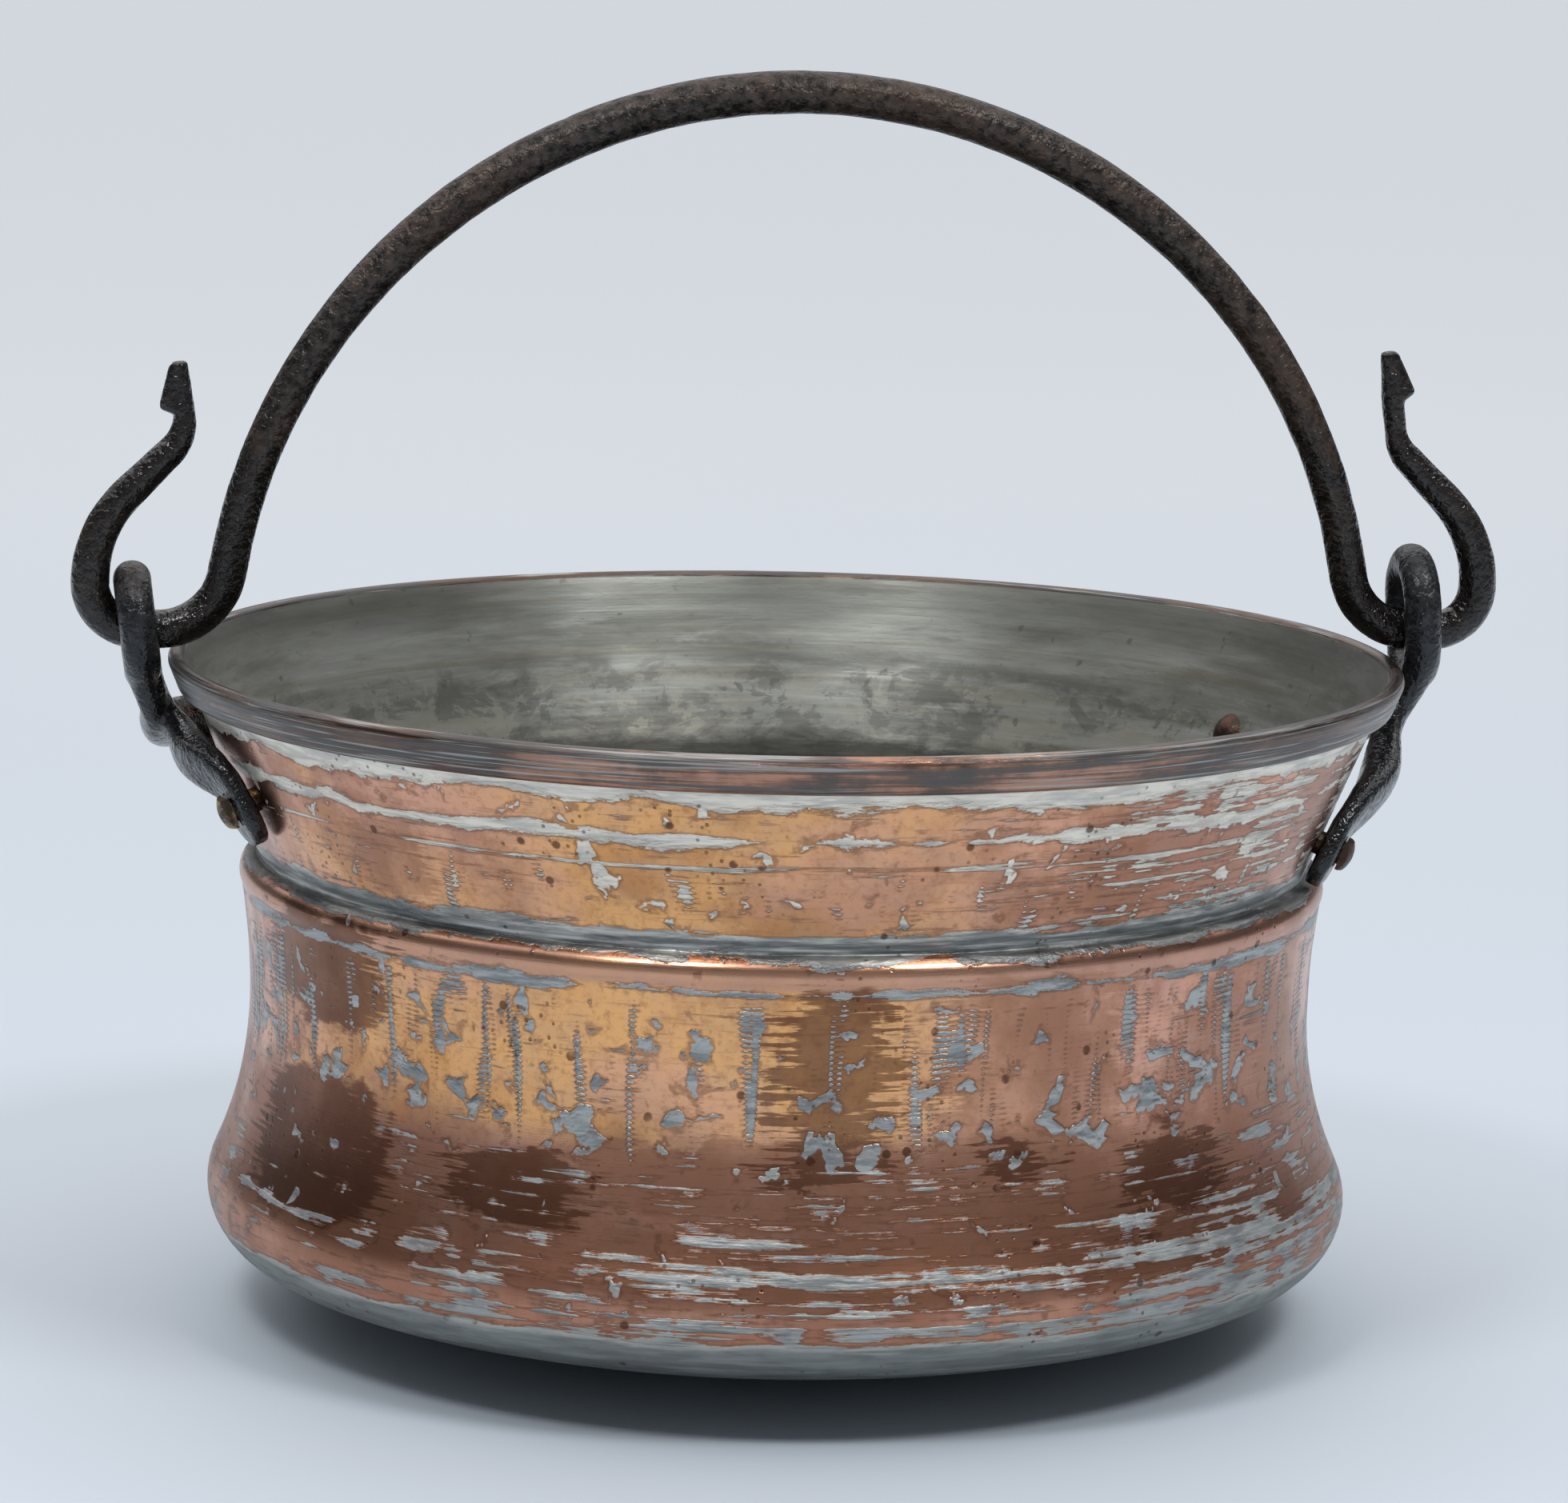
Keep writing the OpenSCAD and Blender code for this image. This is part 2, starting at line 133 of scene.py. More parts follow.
# Bail sizes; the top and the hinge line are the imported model's, and the soft nape is rounder than its nape
bail_h = round(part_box("bail")[1].z / MM, 1)
pivot_z = round(frame["joints"][0]["pos_m"][2] / MM, 1)
rod_r = 5.9
rod_sink = 0.08
bow_swell = 0.6
bail_shift = 2.0
eye_run = 3.0
inner_bend_r = 20.0
outer_bend_r = 13.5
hook_sweep_r = 36.0
hook_turn = 45.0
nape_r = 8.0
soft_nape_r = 13.0
nape_w = 6.9
head_w = 11.2
barb_l = 14.0
barb_rise = 1.6
head_t = 7.6
head_tip_w = 5.2

# Vessel profile in (radius, height): dome, knuckle, belly, waist, shoulder bead
belly_r = rim_r - belly_in
waist_r = belly_r - waist_in
crease_z = vessel_h - neck_h
waist_z = crease_z - waist_drop
dome_c = (0.0, math.sqrt(dome_r ** 2 - stand_r ** 2))
knuckle_r = (dome_r ** 2 - belly_r ** 2 - (dome_c[1] - belly_z) ** 2) / (2 * (dome_r - belly_r))
knuckle_c = (belly_r - knuckle_r, belly_z)
dome_start = angle_of(stand_r, -dome_c[1])
dome_end = angle_of(knuckle_c[0], knuckle_c[1] - dome_c[1])
belly_sweep_r = (waist_in ** 2 + (waist_z - belly_z) ** 2) / (2 * waist_in) - knuckle_r
belly_c = (waist_r + belly_sweep_r, waist_z)
knuckle_end = angle_of(belly_c[0] - knuckle_c[0], belly_c[1] - knuckle_c[1])
sweep_c = (waist_r + sweep_r, waist_z)
sweep_end = 180 - math.degrees(math.asin(waist_drop / sweep_r))
bead_c = polar(polar(sweep_c, sweep_r, sweep_end), -bead_r, crease_a)
groove = (bead_c[0], bead_c[1] + bead_r)

# Neck, a cone whose top is folded outward and down over the hoop and tucked in under it
fold_r = hoop_t / 2 + hoop_gap
fold_c = (rim_r - fold_r - sheet_t, vessel_h - fold_r - sheet_t)
to_fold = (fold_c[0] - groove[0], fold_c[1] - groove[1])
neck_a = angle_of(*to_fold) + math.degrees(math.asin(fold_r / math.hypot(*to_fold)))
tuck_c = polar(fold_c, hoop_t - hoop_h, neck_a)
fold_start = neck_a + 90
fold_turn = neck_a - 90
tuck_end = fold_start + math.degrees(math.acos((fold_r - fold_gap) / (fold_r + sheet_t))) - 360

# Eyes, which the hinge line runs through
eye_r = eye_w / 2 + ear_bar_r
eye_x = rim_r + eye_gap + ear_bar_r
eye_floor = Vector((eye_x, 0, pivot_z - rod_r - rod_gap))


def neck_radius(z):
    return groove[0] + (z - groove[1]) * cos(neck_a) / sin(neck_a)


def neck_point(az, z):
    r = neck_radius(z)
    return Vector((r * cos(az), r * sin(az), z))


def neck_up(az):
    return Vector((cos(neck_a) * cos(az), cos(neck_a) * sin(az), sin(neck_a)))


def neck_out(az):
    return Vector((sin(neck_a) * cos(az), sin(neck_a) * sin(az), -cos(neck_a)))


# Mesh helpers

def shade_smooth(mesh):
    mesh.polygons.foreach_set("use_smooth", [True] * len(mesh.polygons))


def new_object(name, verts, faces, materials, slots=None):
    mesh = bpy.data.meshes.new(name)
    mesh.from_pydata([(v[0] * MM, v[1] * MM, v[2] * MM) for v in verts], [], faces)
    mesh.update()
    for m in materials:
        mesh.materials.append(m)
    if slots:
        mesh.polygons.foreach_set("material_index", slots)
    shade_smooth(mesh)
    obj = bpy.data.objects.new(name, mesh)
    bpy.context.scene.collection.objects.link(obj)
    return obj


def skin(rings, closed=False):
    """Quads over a row of rings, which either closes on itself or gets two end caps."""
    n, m = len(rings[0]), len(rings)
    verts = [p for ring_points in rings for p in ring_points]
    faces = []
    for j in range(m if closed else m - 1):
        a, b = j * n, ((j + 1) % m) * n
        for i in range(n):
            k = (i + 1) % n
            faces.append((a + i, a + k, b + k, b + i))
    if not closed:
        faces.append(tuple(reversed(range(n))))
        faces.append(tuple((m - 1) * n + i for i in range(n)))
    return verts, faces


def ring(c, u, v, plus, minus, thick, squareness, sides):
    """A ring about c with half-widths along u, one for each side, and a half-thickness along v."""
    points = []
    for i in range(sides):
        x, y = cos(360 * i / sides), sin(360 * i / sides)
        rx = math.copysign(abs(x) ** squareness, x)
        ry = math.copysign(abs(y) ** squareness, y)
        points.append(c + u * ((plus if x > 0 else minus) * rx) + v * (thick * ry))
    return points


def apply_modifiers(obj):
    depsgraph = bpy.context.evaluated_depsgraph_get()
    mesh = bpy.data.meshes.new_from_object(obj.evaluated_get(depsgraph))
    obj.modifiers.clear()
    old = obj.data
    obj.data = mesh
    bpy.data.meshes.remove(old)
    shade_smooth(mesh)


# Forged iron: widths of its hammer marks, dings and pits, the depth of dings as a share of the hammer marks',
# and the noise where a pit begins and where it is deepest
hammer_w = 9.0
ding_w = 3.2
ding_share = 0.35
pit_w = 2.0
pit_from = 0.625
pit_full = 0.8


def forge(obj, depth, pit_depth, seed):
    """Sinks the surface here and there, as hammered and rusted iron has it."""
    mesh = obj.data
    moved = []
    for v in mesh.vertices:
        p = v.co / MM
        sunk = depth * (wobble(p, hammer_w, seed) + ding_share * wobble(p, ding_w, seed + 7))
        sunk += pit_depth * smooth(pit_from, pit_full, wobble(p, pit_w, seed + 13))
        moved.append(v.co - v.normal * (sunk * MM))
    for v, p in zip(mesh.vertices, moved):
        v.co = p
    mesh.update()


# Camera at the photograph's viewing angle: lens and sensor in millimetres, angles in degrees, place in metres
cam_lens = 135.49
cam_sensor = 36.0
cam_turn = 7.5
cam_pitch = math.degrees(0.1673)
cam_roll = math.degrees(0.0206)
cam_away = 1.7
cam_height = 0.45176


def make_camera():
    data = bpy.data.cameras.new("camera")
    data.lens = cam_lens
    data.sensor_width = cam_sensor
    data.sensor_fit = "HORIZONTAL"
    data.clip_end = 100
    cam = bpy.data.objects.new("camera", data)
    bpy.context.scene.collection.objects.link(cam)
    forward = Vector((sin(cam_turn) * cos(cam_pitch), cos(cam_turn) * cos(cam_pitch), -sin(cam_pitch)))
    right = Vector((cos(cam_turn), -sin(cam_turn), 0))
    up = right.cross(forward)
    x = right * cos(cam_roll) + up * sin(cam_roll)
    y = up * cos(cam_roll) - right * sin(cam_roll)
    place = Vector((-cam_away * sin(cam_turn), -cam_away * cos(cam_turn), cam_height))
    rotation = Matrix((x, y, -forward)).transposed().to_4x4()
    cam.matrix_world = Matrix.Translation(place) @ rotation
    bpy.context.scene.camera = cam


make_camera()


# Materials

class Graph:
    """Small helper to wire a node material."""

    def __init__(self, name):
        self.mat = bpy.data.materials.new(name)
        self.mat.use_nodes = True
        self.tree = self.mat.node_tree
        self.tree.nodes.clear()
        self.bsdf = self.node("ShaderNodeBsdfPrincipled")
        self.link(self.bsdf.outputs[0], self.node("ShaderNodeOutputMaterial").inputs[0])
        self.place = self.node("ShaderNodeTexCoord").outputs["Object"]
        xyz = self.node("ShaderNodeSeparateXYZ")
        self.link(self.place, xyz.inputs[0])
        self.x, self.y, self.z = xyz.outputs

    def node(self, kind):
        return self.tree.nodes.new(kind)

    def link(self, a, b):
        self.tree.links.new(a, b)

    def put(self, value, socket):
        """Links a node's output to the socket, or sets a colour or a number on it."""
        if hasattr(value, "is_output"):
            self.link(value, socket)
        elif isinstance(value, tuple):
            socket.default_value = (*value, 1)
        else:
            socket.default_value = value

    def math(self, operation, *values):
        n = self.node("ShaderNodeMath")
        n.operation = operation
        for value, socket in zip(values, n.inputs):
            self.put(value, socket)
        return n.outputs[0]

    def add(self, *terms):
        return reduce(lambda a, b: self.math("ADD", a, b), terms)

    def mul(self, *factors):
        return reduce(lambda a, b: self.math("MULTIPLY", a, b), factors)

    def most(self, *values):
        return reduce(lambda a, b: self.math("MAXIMUM", a, b), values)

    def rest(self, share):
        return self.math("MULTIPLY_ADD", share, -1.0, 1.0)

    def distance(self, x, level):
        return self.math("ABSOLUTE", self.add(x, -level))

    def front_angle(self):
        """Angle round the axis in radians, 0 at the front and growing to the right."""
        return self.math("ARCTAN2", self.x, self.mul(self.y, -1.0))

    def step(self, x, lo, hi, a=0.0, b=1.0):
        """A smooth step from a to b as x goes from lo to hi."""
        n = self.node("ShaderNodeMapRange")
        n.interpolation_type = "SMOOTHSTEP"
        for value, socket in zip((x, lo, hi, a, b), n.inputs):
            self.put(value, socket)
        return n.outputs[0]

    def scaled(self, scale, shift):
        n = self.node("ShaderNodeVectorMath")
        n.operation = "MULTIPLY_ADD"
        self.link(self.place, n.inputs[0])
        n.inputs[1].default_value = scale
        n.inputs[2].default_value = shift
        return n.outputs[0]

    def noise(self, scale, detail, rough, shift, warp=0.0):
        n = self.node("ShaderNodeTexNoise")
        self.link(self.scaled(scale, (shift, shift * 0.7, -shift)), n.inputs["Vector"])
        n.inputs["Scale"].default_value = 1.0
        n.inputs["Detail"].default_value = detail
        n.inputs["Roughness"].default_value = rough
        n.inputs["Distortion"].default_value = warp
        return n.outputs["Fac"]

    def cells(self, scale, shift):
        n = self.node("ShaderNodeTexVoronoi")
        self.link(self.scaled((scale,) * 3, (shift,) * 3), n.inputs["Vector"])
        n.inputs["Scale"].default_value = 1.0
        return n.outputs["Distance"]

    def curve(self, x, stops):
        """A value along x, from stops of (x, value)."""
        n = self.node("ShaderNodeValToRGB")
        n.color_ramp.interpolation = "LINEAR"
        ramp = n.color_ramp.elements
        while len(ramp) < len(stops):
            ramp.new(0.5)
        for e, (position, value) in zip(ramp, stops):
            e.position = position
            e.color = (value, value, value, 1)
        self.link(x, n.inputs[0])
        return n.outputs[0]

    def mix(self, share, a, b):
        n = self.node("ShaderNodeMix")
        n.data_type = "RGBA"
        for value, socket in ((share, n.inputs[0]), (a, n.inputs[6]), (b, n.inputs[7])):
            self.put(value, socket)
        return n.outputs[2]

    def bump(self, height, distance, strength):
        n = self.node("ShaderNodeBump")
        n.inputs["Strength"].default_value = strength
        n.inputs["Distance"].default_value = distance
        self.link(height, n.inputs["Height"])
        self.link(n.outputs[0], self.bsdf.inputs["Normal"])
        self.link(n.outputs[0], self.bsdf.inputs["Coat Normal"])

    def set(self, **values):
        for key, value in values.items():
            self.put(value, self.bsdf.inputs[key.replace("_", " ")])


# Marks on the copper: angle from the front, height, half width and half height, in radians and metres
# Brown washes; the two wide ones about 70 mm up, under the waist, are a painted reflection of the dark room
BROWN_WASHES_AND_REFLECTIONS = (
    (0.34, 0.103, 0.18, 0.028), (0.44, 0.150, 0.11, 0.013), (-0.86, 0.152, 0.09, 0.010),
    (1.02, 0.104, 0.12, 0.028), (0.05, 0.050, 0.55, 0.010), (-2.10, 0.100, 0.20, 0.030),
    (-0.16, 0.074, 0.36, 0.010), (0.38, 0.070, 0.32, 0.012), (-0.98, 0.050, 0.20, 0.014))
# Dark patches: mostly painted reflections of dark things beside the vessel, the rest stains
DARK_REFLECTIONS_AND_STAINS = (
    (-1.09, 0.117, 0.20, 0.016), (-1.10, 0.066, 0.22, 0.021), (-0.04, 0.102, 0.10, 0.022),
    (0.64, 0.067, 0.12, 0.012), (-0.60, 0.068, 0.14, 0.010), (-0.06, 0.077, 0.08, 0.006),
    (0.30, 0.076, 0.06, 0.005), (1.90, 0.105, 0.20, 0.016), (2.70, 0.070, 0.25, 0.020))

# Height in metres that counts as 1 in the curves below, and the height that the bead's tint is centred on
curve_h = 0.2
bead_level = 0.1305


def copper_patterns(g):
    """The places and noises that the copper and its tin share."""
    n = SimpleNamespace()
    n.height = g.mul(g.z, 1 / curve_h)
    n.front = g.front_angle()
    n.broad = g.noise((11, 11, 9), 3, 0.5, 3.1)
    n.cloud = g.noise((30, 30, 26), 6, 0.62, 7.7)
    n.ragged = g.noise((34, 34, 110), 6, 0.64, 4.0, 0.3)
    n.wipe = g.noise((26, 26, 520), 4, 0.6, 1.3)
    n.dash = g.noise((60, 60, 1000), 3, 0.55, 8.3)
    n.blob = g.noise((78, 78, 90), 4, 0.5, 5.2, 0.5)
    n.shade = g.noise((75, 75, 420), 4, 0.55, 17.0, 0.3)
    n.grain = g.noise((420, 420, 420), 6, 0.7, 2.7)
    n.brushed = g.noise((90, 90, 2600), 3, 0.6, 6.1)
    n.belly = g.step(g.add(n.height, g.mul(n.ragged, 0.06)), 0.47, 0.41)
    return n


def marked(g, n, places):
    """1 inside any of the places and 0 outside, with brushed edges."""
    sideways = g.add(g.mul(n.dash, 0.30), g.mul(n.blob, 0.20), -0.25)
    upward = g.add(g.mul(n.ragged, 0.022), g.mul(n.blob, 0.012), -0.017)
    marks = []
    for angle, level, half_w, half_h in places:
        across = g.mul(g.distance(g.add(n.front, sideways), angle), 1 / half_w)
        along = g.mul(g.distance(g.add(g.z, upward), level), 1 / half_h)
        marks.append(g.step(g.add(g.math("POWER", across, 3.0), g.math("POWER", along, 3.0)), 1.3, 0.7))
    return g.most(*marks)


def bare_copper(g, n):
    """Salmon at the sides, golden at the front, browner in clouds and low on the belly, with brown washes and
    dark patches, partly painted reflections of dark surroundings and partly stains.
    """
    salmon = (0.73, 0.385, 0.275)
    gold = (0.86, 0.455, 0.185)
    belly_copper = (0.52, 0.26, 0.175)
    brown = (0.40, 0.185, 0.12)
    golden_brown = (0.52, 0.245, 0.105)
    rose = (0.78, 0.41, 0.30)
    amber = (0.66, 0.30, 0.10)
    dull = (0.44, 0.33, 0.28)
    grain_brown = (0.36, 0.165, 0.09)
    dash_brown = (0.40, 0.19, 0.11)
    bead_copper = (0.57, 0.32, 0.235)
    wash_and_reflection_brown = (0.37, 0.175, 0.105)
    reflection_and_stain_brown = (0.155, 0.064, 0.037)

    golden = g.step(g.add(g.distance(n.front, -0.38), g.mul(n.broad, -2.2)), -0.20, -0.80)
    golden = g.mul(golden, g.rest(n.belly), g.step(n.front, 0.30, 0.0, 0.25, 1.0))
    light = g.mix(golden, salmon, gold)
    light = g.mix(g.mul(n.belly, 0.9), light, belly_copper)
    dark = g.mix(golden, brown, golden_brown)
    patches = g.noise((12, 12, 15), 5, 0.6, 21.0)
    to_sides = g.step(g.distance(n.front, -0.35), 0.35, 0.70)
    tone = g.add(g.mul(n.cloud, 0.5), g.mul(patches, 0.5), g.mul(n.belly, 0.03), g.mul(to_sides, 0.06))
    bare = g.mix(g.step(tone, 0.49, 0.60, 0.0, 0.85), light, dark)
    blush = g.noise((16, 16, 24), 4, 0.55, 13.0)
    bare = g.mix(g.mul(g.step(blush, 0.50, 0.64, 0.0, 0.5), golden), bare, rose)
    bare = g.mix(g.mul(g.step(blush, 0.46, 0.34, 0.0, 0.6), golden), bare, amber)
    bare = g.mix(g.step(n.blob, 0.40, 0.64, 0.0, 0.20), bare, dull)
    bare = g.mix(g.step(n.grain, 0.46, 0.72, 0.0, 0.55), bare, grain_brown)
    bare = g.mix(g.step(n.dash, 0.56, 0.72, 0.0, 0.40), bare, dash_brown)
    bead = g.step(g.distance(g.z, bead_level), 0.0055, 0.0035)
    bare = g.mix(g.mul(bead, 0.75), bare, bead_copper)
    # Brown washes, partly a painted reflection of the dark room in the band under the waist
    washed_and_reflected = g.mul(marked(g, n, BROWN_WASHES_AND_REFLECTIONS), g.step(n.cloud, 0.35, 0.6, 0.35, 0.75))
    bare = g.mix(washed_and_reflected, bare, wash_and_reflection_brown)
    # Dark patches, mostly painted reflections of dark things beside the vessel, the rest stains
    reflected_and_stained = g.mul(marked(g, n, DARK_REFLECTIONS_AND_STAINS), g.step(tone, 0.40, 0.62, 0.72, 0.94))
    return g.mix(reflected_and_stained, bare, reflection_and_stain_brown)


def tin_lines(g, n):
    """Tin under the rim, in lines round the vessel and over the base, as amounts; above one half is tin."""

    def past(level, slope, rough, reach):
        """Tin above the level, or below it where the slope is negative."""
        flat = g.math("MULTIPLY_ADD", g.z, slope, 0.5 - slope * level - 0.5 * reach)
        return g.add(flat, g.mul(rough, reach))

    def along(level, slope, half_h, rough, reach):
        """Tin within half_h of the level."""
        flat = g.math("MULTIPLY_ADD", g.distance(g.z, level), -slope, 0.5 + slope * half_h - 0.5 * reach)
        return g.add(flat, g.mul(rough, reach))

    under_rim = past(0.1775, 60.0, n.ragged, 1.0)
    upper_line = along(0.1680, 70.0, 0.0016, n.ragged, 0.85)
    lower_line = along(0.1600, 80.0, 0.0002, n.wipe, 0.70)
    groove_fill = along(0.1372, 70.0, 0.0037, n.ragged, 0.80)
    ledge = along(0.1250, 70.0, 0.0013, n.ragged, 1.0)
    base = past(0.0310, -70.0, n.ragged, 0.55)
    return g.most(under_rim, upper_line, lower_line, groove_fill, ledge, base)


def tin_marks(g, n):
    """Wiped, laddered and blotted tin, each more or less by height, as amounts; above one half is tin."""
    wiped = g.curve(n.height, [
        (0.0, 0.30), (0.14, 0.40), (0.17, 0.49), (0.185, 0.42), (0.225, 0.42), (0.24, 0.49), (0.26, 0.41),
        (0.33, 0.40), (0.37, 0.41), (0.42, 0.34), (0.6, 0.37), (0.63, 0.2), (0.66, 0.3), (0.69, 0.47),
        (0.72, 0.37), (0.8, 0.38), (1.0, 0.36)])
    more_right = g.curve(n.height, [(0.0, 0.03), (0.65, 0.0), (0.7, 0.10), (0.95, 0.10), (1.0, 0.0)])
    more_low = g.curve(n.height, [(0.0, 0.0), (0.14, 0.035), (0.30, 0.035), (0.40, 0.015), (0.46, 0.0)])
    wipes = g.add(g.mul(n.wipe, 0.62), g.mul(n.blob, 0.38), wiped, -0.5)
    wipes = g.add(wipes, g.mul(g.step(n.front, 0.05, 0.75), more_right))
    wipes = g.add(wipes, g.mul(g.step(n.front, -0.75, -0.30), more_low))

    laddered = g.curve(n.height, [
        (0.0, 0.0), (0.38, 0.22), (0.44, 0.36), (0.60, 0.39), (0.63, 0.2), (0.68, 0.30), (0.76, 0.32),
        (0.82, 0.2), (1.0, 0.0)])
    column = g.noise((150, 150, 16), 2, 0.45, 9.4, 0.5)
    broken = g.noise((62, 62, 55), 3, 0.55, 12.2)
    rungs = g.math("SINE", g.add(g.mul(g.z, 4200.0), g.mul(n.cloud, 26.0)))
    ladders = g.add(column, g.mul(rungs, 0.036), laddered, -0.64, g.mul(broken, 0.28))

    blotted = g.curve(n.height, [
        (0.0, 0.30), (0.36, 0.33), (0.42, 0.43), (0.47, 0.41), (0.58, 0.37), (0.62, 0.3), (0.7, 0.34),
        (1.0, 0.34)])
    blots = g.add(g.noise((110, 110, 125), 3, 0.5, 15.1, 0.3), blotted, -0.5)
    return g.most(wipes, ladders, blots)


def tin_colour(g, n, amount):
    """Paler on the neck, grey below with painted shade on its drops, and darker in the groove and under the
    base, painted shade with some grime.
    """
    body_grey = (0.46, 0.475, 0.465)
    neck_cream = (0.86, 0.80, 0.69)
    tin_shade_grey = (0.19, 0.205, 0.21)
    dash_grey = (0.33, 0.355, 0.36)
    grime_and_shade = (0.075, 0.08, 0.08)
    base_grey = (0.20, 0.212, 0.20)
    lip_pale = (0.50, 0.50, 0.46)

    colour = g.mix(g.step(n.height, 0.66, 0.76), body_grey, neck_cream)
    # Painted shade on the tin drops, where the shade noise is high, fainter on the neck
    tin_shaded = g.mul(g.step(n.shade, 0.42, 0.64), g.step(n.height, 0.70, 0.78, 0.75, 0.35))
    colour = g.mix(tin_shaded, colour, tin_shade_grey)
    colour = g.mix(g.step(n.dash, 0.48, 0.70, 0.0, 0.40), colour, dash_grey)
    # Darker in the groove and under the base: painted shade with some grime
    dark = g.curve(n.height, [
        (0.0, 0.9), (0.10, 0.85), (0.125, 0.6), (0.15, 0.0), (0.64, 0.0), (0.66, 0.35), (0.68, 0.85),
        (0.70, 0.55), (0.72, 0.0), (1.0, 0.0)])
    colour = g.mix(g.mul(dark, g.step(n.wipe, 0.62, 0.42)), colour, grime_and_shade)
    colour = g.mix(g.step(n.height, 0.17, 0.145, 0.0, 0.6), colour, base_grey)
    lip = g.mul(g.step(amount, 0.72, 0.52), g.step(n.height, 0.18, 0.15), g.step(n.wipe, 0.40, 0.55))
    return g.mix(lip, colour, lip_pale)


def copper_material():
    """Bare copper with remains of tin, brown spots and fine pitting."""
    tin_edge_shade_and_dirt_brown = (0.20, 0.09, 0.055)
    spot_brown = (0.085, 0.035, 0.02)
    g = Graph("worn_copper")
    n = copper_patterns(g)
    amount = g.most(tin_lines(g, n), tin_marks(g, n))
    tin = g.step(amount, 0.495, 0.520)
    swell = g.step(amount, 0.47, 0.64)
    # A thin dark edge round the tin: painted shade under the raised drops, with some dirt
    tin_edge_shade_and_dirt = g.mul(g.step(amount, 0.43, 0.49), g.rest(tin))
    colour = g.mix(g.mul(tin_edge_shade_and_dirt, 0.55), bare_copper(g, n), tin_edge_shade_and_dirt_brown)
    colour = g.mix(tin, colour, tin_colour(g, n, amount))

    gate = g.noise((45, 45, 45), 3, 0.5, 4.4)
    spots = g.mul(g.step(g.cells(95.0, 1.7), 0.15, 0.09), g.step(gate, 0.50, 0.56))
    specks = g.mul(g.step(g.cells(330.0, 2.9), 0.24, 0.14), g.step(gate, 0.55, 0.62))
    marks = g.most(spots, g.mul(specks, 0.8))
    colour = g.mix(g.mul(marks, 0.8), colour, spot_brown)
    rough = g.add(g.step(n.cloud, 0.3, 0.7, 0.17, 0.27), g.mul(n.belly, 0.09))
    rough = g.add(rough, g.mul(tin, 0.15), g.mul(n.brushed, 0.08))
    g.set(Base_Color=colour, Metallic=g.step(tin, 0.0, 1.0, 1.0, 0.85), Roughness=rough)
    relief = g.add(g.mul(swell, 0.9), g.mul(tin, n.shade, 0.45))
    relief = g.add(relief, g.mul(n.brushed, 0.06), g.mul(n.grain, 0.05), g.mul(marks, -0.25))
    g.bump(relief, 0.0007, 0.65)
    return g.mat


def rim_material():
    """Copper of the folded rim, barer at the front and painted brighter there as a sheen, with grey and
    tinned streaks.
    """
    side_copper = (0.155, 0.112, 0.092)
    front_copper_and_sheen = (0.46, 0.245, 0.17)
    brown = (0.13, 0.080, 0.060)
    dark_grey = (0.095, 0.097, 0.095)
    tin_grey = (0.40, 0.405, 0.395)
    g = Graph("rim_copper")
    along = g.noise((14, 14, 700), 5, 0.6, 2.2)
    patch = g.noise((40, 40, 60), 5, 0.6, 8.8)
    streak = g.noise((20, 20, 1500), 3, 0.55, 5.9)
    grey = g.step(g.add(g.mul(along, 0.75), g.mul(patch, 0.30)), 0.46, 0.56)
    from_front = g.math("ABSOLUTE", g.front_angle())
    # Brighter at the front: partly barer copper, partly a painted sheen
    bare = g.mix(g.step(from_front, 0.80, 0.30), side_copper, front_copper_and_sheen)
    colour = g.mix(g.step(patch, 0.40, 0.66), bare, brown)
    colour = g.mix(g.mul(grey, 0.85), colour, dark_grey)
    colour = g.mix(g.mul(g.step(streak, 0.54, 0.64), 0.75), colour, tin_grey)
    rough = g.step(along, 0.3, 0.7, 0.24, 0.42)
    g.set(Base_Color=colour, Metallic=g.step(grey, 0.0, 1.0, 1.0, 0.6), Roughness=rough)
    g.bump(g.add(g.mul(along, 0.6), g.mul(grey, 0.3)), 0.0005, 0.6)
    return g.mat


